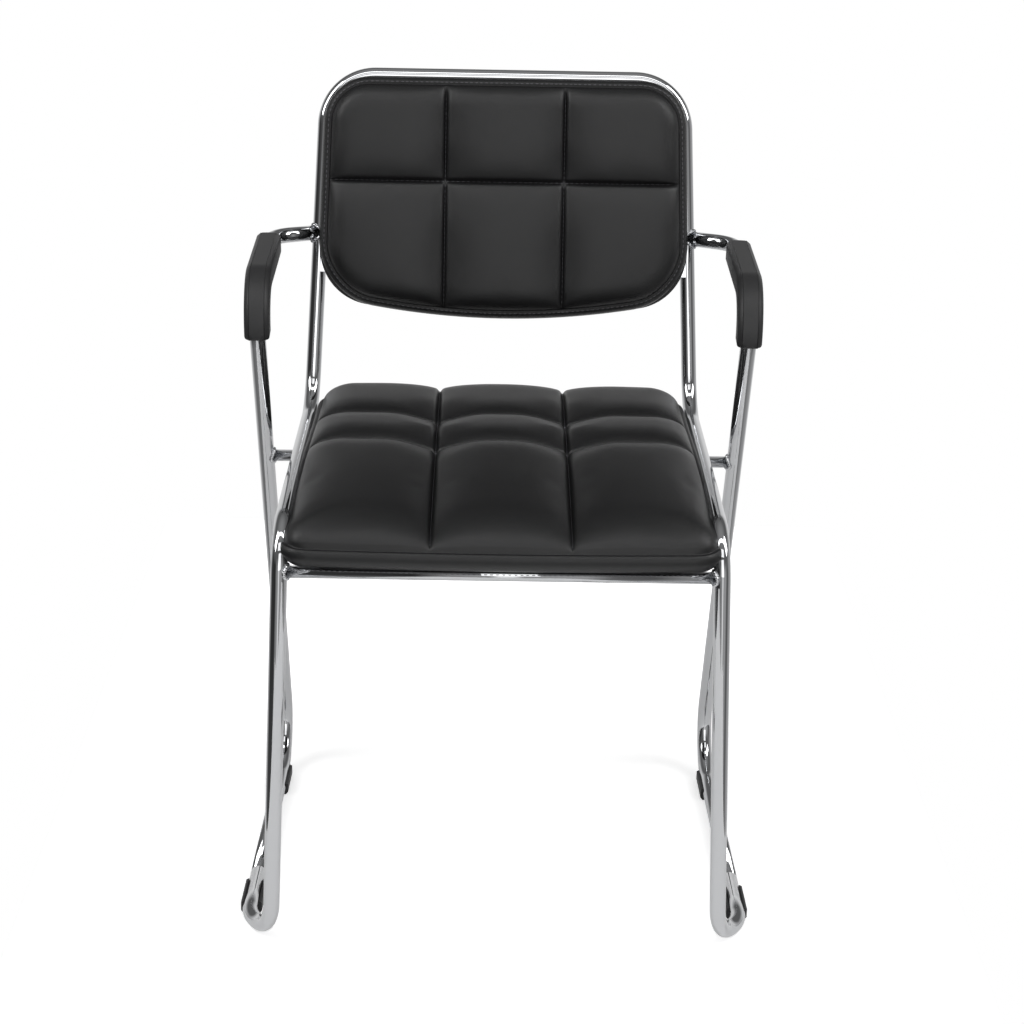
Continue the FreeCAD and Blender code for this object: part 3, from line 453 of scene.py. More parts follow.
@dataclass(frozen=True)
class WeldSizes:
    """A weld bead: lengths in millimetres, and shares of its radius."""

    radius: float = 1.7
    # How far its middle lies off the bar and off the tube
    bar_share: float = 0.45
    tube_share: float = 0.25
    ripples: int = 22
    ripple_share: float = 0.13
    rough_share: float = 0.12
    # Size of the uneven spots
    rough_pitch: float = 2.5
    # How far behind the joint the bead's path is looked for
    lead: float = 20.0
    points: int = 96
    sides: int = 14


@dataclass
class TubeFrame:
    """The two kinds of bent tube, the crossbars and their welds."""

    sizes: TubeSizes
    beads: WeldSizes

    def corner(self, place: tuple, side: int) -> Vector:
        """A corner of the centre line, in metres, on one side of the chair."""
        level = place[2] if len(place) == 3 else self.sizes.level
        return Vector((side * place[0], place[1], level)) * MM

    def toe(self, side: int) -> Vector:
        """The corner where the splayed toe turns into the runner."""
        sizes = self.sizes
        foot = self.corner(sizes.foot, RIGHT)
        leg = self.corner(sizes.rail_front, RIGHT) - foot
        splay = math.radians(sizes.toe_splay)
        heading = Vector((math.sin(splay), math.cos(splay), 0))
        foot_setback = sizes.foot_bend / math.tan(leg.angle(heading) / 2)
        length = foot_setback + sizes.toe_straight + sizes.toe_bend * math.tan(splay / 2)
        toe = foot + heading * length * MM
        return Vector((side * toe.x, toe.y, toe.z))

    def joint(self, side: int) -> Vector:
        """Where the two tubes meet inside the runner."""
        rear = self.corner(self.sizes.runner_rear, side)
        return between(self.toe(side), rear, 1, self.sizes.sleeve_y * MM)

    def hoop_at(self, side: int, height: float) -> Vector:
        """The hoop's centre line at a height in metres."""
        sizes = self.sizes
        return between(self.corner(sizes.rail_rear, side), self.corner(sizes.hoop, side), 2, height)

    def tube(self, name: str, corners: list[Vector], bends: list[float], node: str) -> None:
        """Model one bent tube in place of its CAD node."""
        path = bent_path(corners, [bend * MM for bend in bends])
        form = round_sweep(path, [self.sizes.radius * MM] * len(path), self.sizes.sides)
        piece = make_mesh(name, form, CHROME)
        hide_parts(node)

    def weld(
        self, root: Vector, axis: Vector, rod: float, leg_point: Vector, leg_axis: Vector
    ) -> Form:
        """Model the bead round a bar's end, where it meets a tube.

        Args:
            root: A point on the bar's centre line, inside the bar.
            axis: Unit direction of the bar, towards the tube.
            rod: The bar's radius in metres.
            leg_point: A point on the tube's centre line.
            leg_axis: Unit direction of the tube.

        Returns:
            Vertices and faces of the bead.
        """
        beads = self.beads
        side = axis.orthogonal().normalized()
        across = axis.cross(side)
        bead = beads.radius * MM
        # Each line from the start along the axis meets a cylinder round the tube
        run = axis - leg_axis * axis.dot(leg_axis)
        a = run.dot(run)
        ring, radii = [], []
        for number in range(beads.points):
            angle = 2 * math.pi * number / beads.points
            outward = side * math.cos(angle) + across * math.sin(angle)
            start = root + outward * (rod + beads.bar_share * bead)
            offset = start - leg_point
            flat = offset - leg_axis * offset.dot(leg_axis)
            b = 2 * flat.dot(run)
            c = flat.dot(flat) - (self.sizes.radius * MM + beads.tube_share * bead) ** 2
            reach = (-b - math.sqrt(max(b * b - 4 * a * c, 0.0))) / (2 * a)
            ripple = 1 + beads.ripple_share * math.sin(beads.ripples * angle)
            ripple += beads.rough_share * noise.noise(start / (beads.rough_pitch * MM))
            ring.append(start + axis * reach)
            radii.append(bead * ripple)
        return round_sweep(ring, radii, beads.sides, closed=True)

    def crossbar(self, name: str, node: str, legs: dict[int, tuple[Vector, Vector]]) -> None:
        """Model a crossbar with its weld beads in place of its CAD node.

        Args:
            name: The piece's name.
            node: The CAD node it stands for.
            legs: For each side, a point and a direction of the tube that the bar meets.
        """
        low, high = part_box(node)
        middle = Vector((0, (low.y + high.y) / 2, (low.z + high.z) / 2))
        radius = self.sizes.bar_radius * MM
        ends, welds = [], []
        for side, (point, heading) in legs.items():
            end = between(point, point + heading, 2, middle.z).x - side * self.sizes.sunk * MM
            ends.append(middle + Vector((end, 0, 0)))
            welds.append(self.weld(middle, Vector((side, 0, 0)), radius, point, heading))
        bar = round_sweep(ends, [radius] * 2, self.sizes.sides)
        piece = make_mesh(name, join_parts([bar, *welds]), CHROME)
        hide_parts(node)

    def build(self) -> None:
        """Model the tubes, the crossbars and the welds of the arms."""
        sizes = self.sizes
        places = (sizes.foot, sizes.rail_front, sizes.rail_rear, sizes.hoop)
        left, right = (
            [self.joint(side), self.toe(side), *(self.corner(place, side) for place in places)]
            for side in (LEFT, RIGHT)
        )
        bends = [sizes.toe_bend, sizes.foot_bend, sizes.rail_front_bend, sizes.rail_rear_bend]
        bends.append(sizes.hoop_bend)
        corners = left + right[::-1]
        self.tube("hoop_rails_and_front_legs", corners, bends + bends[::-1], "main_frame_tube")
        welds = []
        rear_legs, front_legs = {}, {}
        for word, side in SIDES.items():
            knee = self.corner(sizes.arm_front, side)
            turn = self.corner(sizes.arm_rear, side)
            tip = self.hoop_at(side, turn.z)
            rear = self.corner(sizes.runner_rear, side)
            inward = (tip - turn).normalized()
            corners = [self.joint(side), rear, knee, turn, tip - inward * sizes.sunk * MM]
            arm_bends = [sizes.runner_rear_bend, sizes.arm_front_bend, sizes.arm_rear_bend]
            self.tube(f"runner_rear_leg_and_arm_{word}", corners, arm_bends, f"side_tube_{word}")
            hoop_axis = self.corner(sizes.hoop, side) - self.corner(sizes.rail_rear, side)
            root = tip - inward * self.beads.lead * MM
            welds.append(self.weld(root, inward, sizes.radius * MM, tip, hoop_axis.normalized()))
            foot, top = self.corner(sizes.foot, side), self.corner(sizes.rail_front, side)
            front_legs[side] = (foot, (top - foot).normalized())
            rear_legs[side] = (rear, (knee - rear).normalized())
        beads = make_mesh("arm_weld_beads", join_parts(welds), CHROME_WELD)
        self.crossbar("front_crossbar_welded", "front_crossbar", front_legs)
        self.crossbar("mid_crossbar_welded", "mid_crossbar", rear_legs)
        LOG.info("tube frame built")


# Quilted cushions


@dataclass(frozen=True)
class PadSizes:
    """A quilted pad in its own plane, in millimetres: x across, y along, z out of its base.

    Low and high tell the ends apart: the seat's front and rear, the back's lower and upper edge.
    """

    name: str
    node: str
    # Half widths at the two ends, their y, how far each end bows out, and how far the sides draw in
    half_low: float
    half_high: float
    low_y: float
    high_y: float
    low_bow: float
    high_bow: float
    side_draw: float
    low_corner: float
    high_corner: float
    # Sewn channels, and how far each row of panels rises
    channel_x: float
    channels_y: tuple
    crowns: tuple
    # Rings below the seam, each an offset from the outline and a height
    band: tuple
    # How far the seam lies inside the outline, its height, and how far the channels rise above it
    inset: float
    seam: float
    valley: float
    # Widths of the rounding along the seam, beside the channels and beside the cross channels
    side_round: float
    low_round: float
    high_round: float
    panel_round: float
    row_round: float
    # How far the channels dip where they cross, and over what length
    pucker: float
    pucker_length: float
    # The thread round the panels: its offset from the outline and its height
    thread_offset: float
    thread_height: float
    # The sharp crease that the thread pulls in
    crease_depth: float
    crease_width: float
    # How full the pad looks, from 0 for slack to 1 for tight
    fill: float
    # Where the pad bends down, and by how many degrees
    bend_y: float = -1000.0
    bend_angle: float = 0.0


@dataclass(frozen=True)
class ThreadSizes:
    """The stitches, in millimetres."""

    length: float = 3.0
    pitch: float = 4.6
    radius: float = 0.45
    sides: int = 6
    # The ends taper over this share of the length to this share of the radius
    taper: float = 0.15
    tip: float = 0.2
    # Height of the channels' thread above the quilted face
    lift: float = 0.4
    # How far before the seam a channel's thread stops, and the column where a cross channel's does
    end_gap: float = 6.0
    end_column: float = 2.9
    cross_points: int = 400


THREAD_SIZES = ThreadSizes()

# A light coated fabric that hardly stretches, blown up by the foam below it
CLOTH_SETTINGS = {
    "quality": 6,
    "mass": 0.3,
    "tension_stiffness": 12.0,
    "compression_stiffness": 12.0,
    "shear_stiffness": 6.0,
    "bending_stiffness": 6.0,
    "use_pressure": True,
    "uniform_pressure_force": 3.0,
    # Below zero, so that the net has this share of slack
    "shrink_min": -0.003,
}


@dataclass
class QuiltedPad:
    """A crowned pad with sewn channels, a seam round its panels and a band below it."""

    # Columns of the panels: the channels lie at -1 and 1 and the sides at -3 and 3
    EDGES = (-3, -1, 1, 3)
    # Cells across and along each panel of the shown mesh, and how much they crowd at the channels
    COLUMNS = 42
    ROWS = 40
    CROWDING = 0.82
    # Width over which the sides' rounding turns into the ends', and the softness of the bend
    END_BLEND = 60.0
    BEND_SOFTNESS = 12.0
    # Cells of the cloth in millimetres, its steps, how far it may move in metres, and the
    # distance within which a point lies on a sewn line
    CELL = 6.0
    CLOTH_STEPS = 20
    MOST_SWELL = 7 * MM
    ON_LINE = 0.001

    sizes: PadSizes
    # The pad's own plane, in metres
    place: Matrix

    @property
    def lines(self) -> list[float]:
        """The y of the seam at both ends and of the cross channels between them."""
        sizes = self.sizes
        return [sizes.low_y + sizes.inset, *sizes.channels_y, sizes.high_y - sizes.inset]

    def half_width(self, y: float) -> float:
        """Half the panels' width at this y, before the corners are rounded."""
        sizes = self.sizes
        share = (y - sizes.low_y) / (sizes.high_y - sizes.low_y)
        draw = sizes.side_draw * 4 * share * (1 - share)
        return sizes.half_low + (sizes.half_high - sizes.half_low) * share - draw - sizes.inset

    def edge_distance(self, x: float, y: float) -> tuple[float, float]:
        """How far a point lies inside the panels' outline, and how much the nearer edge is an end."""
        sizes = self.sizes
        low, high = y - sizes.low_y - sizes.inset, sizes.high_y - sizes.inset - y
        end = min(low, high)
        corner = (sizes.low_corner if low < high else sizes.high_corner) - sizes.inset
        side = self.half_width(y) - abs(x)
        if side < corner and end < corner:
            distance = corner - math.hypot(corner - side, corner - end)
        else:
            distance = min(side, end)
        return max(distance, 0.0), smooth_step(0.5 + (side - end) / self.END_BLEND)

    def surface(self, x: float, y: float) -> float:
        """Height of the quilted face above the pad's base."""
        sizes = self.sizes
        distance, endness = self.edge_distance(x, y)
        end_round = sizes.low_round if y < (sizes.low_y + sizes.high_y) / 2 else sizes.high_round
        reach = sizes.side_round + (end_round - sizes.side_round) * endness
        edge = round_rise(distance / reach)
        to_column = abs(abs(x) - sizes.channel_x)
        to_row = min(abs(y - line) for line in sizes.channels_y)
        lift = round_rise(to_column / sizes.panel_round) * round_rise(to_row / sizes.row_round)
        flat_x, flat_y = (1 - smooth_step(gap / sizes.pucker_length) for gap in (to_column, to_row))
        row = sum(y > line for line in sizes.channels_y)
        crease = sum(math.exp(-((gap / sizes.crease_width) ** 2)) for gap in (to_column, to_row))
        rise = sizes.valley + sizes.pucker * (1 - flat_x * flat_y) + sizes.crowns[row] * lift
        return sizes.seam + edge * (rise - sizes.crease_depth * min(crease, 1.0))

    def bent(self, x: float, y: float, z: float) -> Vector:
        """A point of the pad, bent down past the bend line, in the frame's metres."""
        past = (self.sizes.bend_y - y) / self.BEND_SOFTNESS
        fold = self.BEND_SOFTNESS * math.log1p(math.exp(past))
        z -= fold * math.tan(math.radians(self.sizes.bend_angle))
        return self.place @ (Vector((x, y, z)) * MM)

    def stations(self, knots: list[float], count: int) -> list[float]:
        """Positions from one knot to the next, closer together at the knots."""
        result = [knots[0]]
        for start, end in zip(knots, knots[1:]):
            for number in range(1, count + 1):
                share = number / count
                share -= self.CROWDING * math.sin(2 * math.pi * share) / (2 * math.pi)
                result.append(start + (end - start) * share)
        return result

    def plan_point(self, column: float, row: float) -> tuple[float, float]:
        """A point of the panels' plan.

        Args:
            column: Between the sides at -3 and 3.
            row: The y that the point would have if the ends were straight.

        Returns:
            x and y.
        """
        sizes = self.sizes
        low_gap = row - sizes.low_y - sizes.inset
        high_gap = sizes.high_y - sizes.inset - row
        half = self.half_width(row)
        for gap, outer_corner in ((low_gap, sizes.low_corner), (high_gap, sizes.high_corner)):
            corner = outer_corner - sizes.inset
            if gap < corner:
                half -= corner - math.sqrt(max(corner**2 - (corner - gap) ** 2, 0.0))
        if abs(column) <= 1:
            x = column * sizes.channel_x
        else:
            reach = (half - sizes.channel_x) * (abs(column) - 1) / 2
            x = math.copysign(sizes.channel_x + reach, column)
        low_share = smooth_step(1 - low_gap / (sizes.channels_y[0] - sizes.low_y))
        high_share = smooth_step(1 - high_gap / (sizes.high_y - sizes.channels_y[-1]))
        bow = 1 - min(abs(x) / self.half_width(row), 1.0) ** 2
        return x, row - sizes.low_bow * low_share * bow + sizes.high_bow * high_share * bow

    def net(self, columns: list[float], rows: list[float]) -> tuple[list[tuple], list[Vector]]:
        """Lay a net of points on the quilted face.

        Returns:
            Row by row, each point's x and y in the plan, and the bent point in metres.
        """
        plan, points = [], []
        for row in rows:
            for column in columns:
                x, y = self.plan_point(column, row)
                plan.append((x, y))
                points.append(self.bent(x, y, self.surface(x, row)))
        return plan, points

    def cloth_swell(self, columns: list[float], rows: list[float]) -> np.ndarray:
        """Blow the panels up as cloth that is sewn down along the channels and the seam.

        Args:
            columns: The columns of the shown mesh.
            rows: The rows of the shown mesh.

        Returns:
            How far each of its points moves, in metres, as an array of rows, columns and axes.
        """
        lines = self.lines
        across = even_stations(self.EDGES, [2 * self.sizes.channel_x / self.CELL] * 3)
        counts = [(end - start) / self.CELL for start, end in zip(lines, lines[1:])]
        along = even_stations(lines, counts)
        wide, tall = len(across), len(along)
        sewn = []
        for j, row in enumerate(along):
            for i, column in enumerate(across):
                on_row = min(abs(row - line) for line in lines) < self.ON_LINE
                on_column = min(abs(column - edge) for edge in self.EDGES) < self.ON_LINE
                if on_row or on_column:
                    sewn.append(j * wide + i)
        moved = self.blow_up(self.net(across, along)[1], grid_faces(wide, tall), sewn)
        reach = np.linalg.norm(moved, axis=1, keepdims=True)
        moved *= np.minimum(1.0, self.MOST_SWELL / np.maximum(reach, 1e-9))
        LOG.info("%s swells by up to %.1f mm", self.sizes.name, float(reach.max()) / MM)
        weights = cubic_weights(rows, along), cubic_weights(columns, across)
        return np.einsum("ai,bj,ijk->abk", *weights, moved.reshape(tall, wide, 3))

    def blow_up(self, start: list[Vector], faces: list[tuple], sewn: list[int]) -> np.ndarray:
        """Simulate a net as cloth under pressure, without gravity.

        Args:
            start: The net's points, in metres.
            faces: Its faces.
            sewn: Numbers of the points that are held in place.

        Returns:
            How far each point moves, in metres.
        """
        name = self.sizes.name + "_cloth"
        mesh = bpy.data.meshes.new(name)
        mesh.from_pydata(start, [], faces)
        cloth = show(name, mesh)
        held = cloth.vertex_groups.new(name="sewn")
        held.add(sewn, 1.0, "REPLACE")
        modifier = cloth.modifiers.new("cloth", "CLOTH")
        for setting, value in CLOTH_SETTINGS.items():
            setattr(modifier.settings, setting, value)
        modifier.settings.vertex_group_mass = held.name
        modifier.settings.effector_weights.gravity = 0.0
        modifier.collision_settings.use_collision = False
        scene = bpy.context.scene
        for step in range(1, self.CLOTH_STEPS + 1):
            scene.frame_set(step)
        shown = cloth.evaluated_get(bpy.context.evaluated_depsgraph_get())
        moved = np.array([after.co - before for after, before in zip(shown.to_mesh().vertices, start)])
        shown.to_mesh_clear()
        bpy.data.objects.remove(cloth)
        bpy.data.meshes.remove(mesh)
        scene.frame_set(1)
        return moved

    def build(self) -> None:
        """Model the pad in place of its CAD node."""
        sizes = self.sizes
        columns = self.stations(self.EDGES, self.COLUMNS)
        rows = self.stations(self.lines, self.ROWS)
        wide, tall = len(columns), len(rows)
        plan, points = self.net(columns, rows)
        swell = self.cloth_swell(columns, rows).reshape(-1, 3)
        vertices = [point + Vector(move) for point, move in zip(points, swell)]
        faces = grid_faces(wide, tall)
        ring = list(range(wide))
        ring += [j * wide + wide - 1 for j in range(1, tall)]
        ring += [(tall - 1) * wide + i for i in range(wide - 2, -1, -1)]
        ring += [j * wide for j in range(tall - 2, 0, -1)]
        edge = [Vector(plan[number]) for number in ring]
        count = len(edge)
        for offset, height in sizes.band:
            start = len(vertices)
            spots = self.offset_ring(edge, sizes.inset + offset)
            vertices.extend(self.bent(*spot, height) for spot in spots)
            fresh = list(range(start, start + count))
            for number in range(count):
                after = (number + 1) % count
                faces.append((ring[after], ring[number], fresh[number], fresh[after]))
            ring = fresh
        faces.append(tuple(ring[::-1]))
        pad = make_mesh(sizes.name, (vertices, faces), LEATHERETTE)
        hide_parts(sizes.node)
        self.stitch(edge)
        LOG.info("%s built with %d vertices", sizes.name, len(vertices))

    @staticmethod
    def offset_ring(edge: list[Vector], offset: float) -> list[Vector]:
        """The panels' outline moved outwards in the plan."""
        ring = []
        for before, here, after in zip([edge[-1], *edge], edge, [*edge[1:], edge[0]]):
            run = after - before
            ring.append(here + Vector((run.y, -run.x)).normalized() * offset)
        return ring

    def stitch(self, edge: list[Vector]) -> None:
        """Model the thread along the sewn channels and round the panels' outline in the plan."""
        sizes, thread = self.sizes, THREAD_SIZES
        ring = self.offset_ring(edge, sizes.inset + sizes.thread_offset)
        dense = []
        for here, after in zip(ring, [*ring[1:], ring[0]]):
            count = max(int((after - here).length), 1)
            dense.extend(here.lerp(after, number / count) for number in range(count))
        runs = [[self.bent(*spot, sizes.thread_height) for spot in dense]]
        low, high = self.lines[0] + thread.end_gap, self.lines[-1] - thread.end_gap
        for column in (LEFT, RIGHT):
            runs.append([self.on_face(column, y) for y in np.arange(low, high, 1.0)])
        spots = np.linspace(-thread.end_column, thread.end_column, thread.cross_points)
        for y in sizes.channels_y:
            runs.append([self.on_face(column, y) for column in spots])
        parts = [part for run in runs for part in self.stitches(run)]
        # The thread's lighter grey colour is painted sheen on black thread
        stitching = make_mesh(sizes.name + "_stitching", join_parts(parts), THREAD_PAINTED_SHEEN)

    def on_face(self, column: float, row: float) -> Vector:
        """A point just above the quilted face."""
        x, y = self.plan_point(column, row)
        return self.bent(x, y, self.surface(x, row) + THREAD_SIZES.lift)

    @staticmethod
    def stitches(run: list[Vector]) -> list[Form]:
        """Short threads along a line, which is given as points close together."""
        thread = THREAD_SIZES
        length, radius = thread.length * MM, thread.radius * MM
        shares = (0.0, thread.taper, 1.0 - thread.taper, 1.0)
        radii = [thread.tip * radius, radius, radius, thread.tip * radius]
        parts = []
        travelled = 0.0
        start = run[0]
        for before, after in zip(run, run[1:]):
            travelled += (after - before).length
            if travelled < thread.pitch * MM:
                continue
            travelled = 0.0
            heading = (after - start).normalized()
            path = [start + heading * length * share for share in shares]
            parts.append(round_sweep(path, radii, thread.sides))
            start = after
        return parts


SEAT_PAD = PadSizes(
    name="seat_pad_quilted", node="seat_cushion", fill=0.75,
    half_low=211.0, half_high=196.0, low_y=-250.0, high_y=175.0,
    low_bow=5.0, high_bow=5.0, side_draw=3.0, low_corner=30.0, high_corner=40.0,
    channel_x=66.0, channels_y=(-32.0, 56.0), crowns=(14.0, 11.5, 10.0),
    band=(
        (-5.6, 18.4), (-4.4, 20.3), (-2.2, 19.4), (-0.6, 16.0), (0.0, 12.0),
        (-3.0, 7.0), (-6.0, 3.0), (-9.0, 0.4), (-16.0, 0.0),
    ),
    inset=6.5, seam=20.5, valley=3.0,
    side_round=38.0, low_round=62.0, high_round=36.0, panel_round=62.0, row_round=38.0,
    pucker=6.0, pucker_length=50.0, thread_offset=-3.3, thread_height=0.3,
    crease_depth=3.2, crease_width=2.4, bend_y=-32.0, bend_angle=6.3,
)

BACK_PAD = PadSizes(
    name="back_pad_quilted", node="back_cushion", fill=0.6,
    half_low=199.0, half_high=191.0, low_y=-234.0, high_y=-2.0,
    low_bow=22.0, high_bow=0.0, side_draw=0.0, low_corner=60.0, high_corner=48.0,
    channel_x=63.0, channels_y=(-111.0,), crowns=(9.5, 9.5),
    band=(
        (-8.2, 13.6), (-6.9, 15.6), (-4.4, 14.8), (-1.4, 11.0), (0.0, 5.5),
        (-0.6, 1.5), (-3.0, 0.2),
    ),
    inset=9.0, seam=15.5, valley=2.5,
    side_round=22.0, low_round=22.0, high_round=22.0, panel_round=48.0, row_round=44.0,
    pucker=2.5, pucker_length=45.0, thread_offset=-5.6, thread_height=15.484,
    crease_depth=2.4, crease_width=2.2,
)


# Arm pads


@dataclass(frozen=True)
class ArmPadSizes:
    """Section of an arm pad round the tube's centre line, in millimetres."""

    half: float = 12.5
    # Heights over and under the tube's centre
    rise: float = 13.0
    depth: float = 8.0
    # The slot for the tube: its half width and its chamfer
    slot: float = 8.2
    nest: float = 3.8
    chamfer: float = 3.5
    # The fine lines along the top: their place, depth and half width
    groove_x: float = 7.6
    groove: float = 0.45
    groove_half: float = 0.5
    rear_y: float = 152.0
    # Degrees of the bend that the pad follows down
    wrap: float = 100.0
    end_round: float = 3.0
    # Small roundings of the section: at its lower edges, and at both ends of the chamfer
    lip: float = 0.8
    ease: float = 0.3
    dip: float = 0.25
    # The slightly raised middle of the top
    crown_x: float = 2.5
    crown: float = 0.15
    # How much of the end's rounding the top takes
    end_drop: float = 0.6


@dataclass
class ArmPad:
    """A moulded channel over the arm, bent down over the front of the rear leg."""

    ARC_STATIONS = 26
    # Distances from an end where its rounding is drawn, in millimetres
    END_STOPS = (0.0, 0.5, 1.2, 2.0)
    SHARP_ANGLE = math.radians(40)

    sizes: ArmPadSizes
    # The tubes that the pads follow
    tubes: TubeFrame

    def section(self) -> list[tuple[float, float]]:
        """The section's outline: across the tube and up from its centre, in millimetres."""
        sizes = self.sizes
        half, rise, depth, ease = sizes.half, sizes.rise, sizes.depth, sizes.ease
        shoulder, corner = half - sizes.chamfer, rise - sizes.chamfer
        outer = [(half - sizes.lip, -depth), (half, -depth + sizes.lip), (half, corner - 2 * ease)]
        outer += [(half - sizes.dip, corner + ease), (shoulder - ease, rise - sizes.dip)]
        outer += [(shoulder - 3 * ease, rise), (sizes.groove_x + sizes.groove_half, rise)]
        outer += [(sizes.groove_x, rise - sizes.groove), (sizes.groove_x - sizes.groove_half, rise)]
        outer += [(sizes.crown_x, rise + sizes.crown)]
        slot, nest = sizes.slot, sizes.nest
        inner = [(-slot, -depth), (-slot, nest), (-slot + nest, slot), (slot - nest, slot)]
        inner += [(slot, nest), (slot, -depth)]
        return outer + [(-x, z) for x, z in reversed(outer)] + inner

    def stations(self, side: int, stops: list[float]) -> tuple[Vector, list[tuple[Vector, Vector]]]:
        """Where the section is placed: along the straight arm, then round the bend above the leg.

        Args:
            side: LEFT or RIGHT.
            stops: Distances of the extra stations from each end, in millimetres.

        Returns:
            The direction across the tube, and each station's centre and upward direction.
        """
        sizes, tubes = self.sizes, self.tubes
        rear = tubes.corner(tubes.sizes.arm_rear, side)
        knee = tubes.corner(tubes.sizes.arm_front, side)
        leg = tubes.corner(tubes.sizes.runner_rear, side) - knee
        start = between(knee, rear, 1, sizes.rear_y * MM)
        forward = (knee - rear).normalized()
        across = leg.normalized().cross(forward).normalized()
        up = across.cross(forward).normalized()
        bend = tubes.sizes.arm_front_bend * MM
        run = (start - knee).length - bend / math.tan((rear - knee).angle(leg) / 2)
        result = [(start + forward * stop * MM, up) for stop in stops]
        result.append((start + forward * (run - STRAIGHT_MARGIN), up))
        centre = start + forward * run - up * bend
        arc = bend * math.radians(sizes.wrap)
        lengths = list(np.linspace(0, arc - sizes.end_round * MM, self.ARC_STATIONS))
        lengths += [arc - stop * MM for stop in reversed(stops[:-2])]
        for length in lengths:
            angle = length / bend
            lift = up * math.cos(angle) + forward * math.sin(angle)
            result.append((centre + lift * bend, lift))
        return across, result

    def build(self, word: str, side: int) -> None:
        """Model one arm pad in place of its CAD node."""
        sizes = self.sizes
        stops = [*self.END_STOPS, sizes.end_round, sizes.end_round + STRAIGHT_MARGIN / MM]
        across, stations = self.stations(side, stops)
        total = len(stations)
        outline = self.section()
        vertices = []
        for number, (point, lift) in enumerate(stations):
            end = min(number, total - 1 - number)
            gap = stops[end] / sizes.end_round if end < len(stops) else 1.0
            shrink = sizes.end_round * (1 - round_rise(gap))
            for x, z in outline:
                wide = x * (1 - shrink / sizes.half) if abs(x) > sizes.slot else x
                above = max(z - sizes.slot, 0) / (sizes.rise - sizes.slot)
                high = z - shrink * above * sizes.end_drop
                vertices.append(point + (across * wide + lift * high) * MM)
        form = vertices, ring_faces(total, len(outline))
        pad = make_mesh(f"moulded_arm_pad_{word}", form, MOULDED)
        pad.data.set_sharp_from_angle(angle=self.SHARP_ANGLE)
        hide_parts(f"arm_pad_{word}")


# Floor, light and camera


@dataclass(frozen=True)
class CameraSizes:
    """The camera fitted to the photograph, in metres and degrees."""

    place: tuple = (-0.016579, -2.321053, 1.215082)
    pitch: float = 19.818
    yaw: float = -0.710
    roll: float = 1.117
    focal_pixels: float = 2403.484
    picture: float = 1024.0
    sensor: float = 36.0


@dataclass(frozen=True)
class Lamp:
    """A rectangular soft box: where it hangs, what it faces and its size in metres, and its watts."""

    name: str
    place: tuple
    target: tuple
    size: tuple
    power: float


LAMPS = (
    Lamp("left_box", (-1.9, -0.7, 2.1), (0.0, 0.0, 0.4), (0.9, 1.5), 22.0),
    Lamp("right_box", (1.9, -0.5, 2.1), (0.0, 0.0, 0.4), (0.9, 1.5), 22.0),
    Lamp("strip_box", (0.0, -0.7, 2.6), (0.0, 0.0, 0.4), (3.2, 0.35), 10.0),
    Lamp("front_box", (0.3, -3.2, 1.4), (0.0, 0.0, 0.5), (1.8, 2.0), 16.0),
    Lamp("high_box", (0.0, -2.4, 3.0), (0.0, 0.0, 0.4), (3.0, 1.0), 13.0),
)

WHITE = (1.0, 1.0, 1.0, 1.0)
# Half width, front and rear of the floor in metres
FLOOR = (0.48, -0.85, 1.0)
FLOOR_PAINT = (0.8, 0.8, 0.8, 1.0)
# Light that the floor adds for the camera: from under the chair to this distance out, in metres
FLOOR_LIFT = {"From Min": 0.35, "From Max": 0.48, "To Min": 0.62, "To Max": 1.0}
# Light that it adds in what the chrome mirrors
MIRRORED_LIFT = 0.16


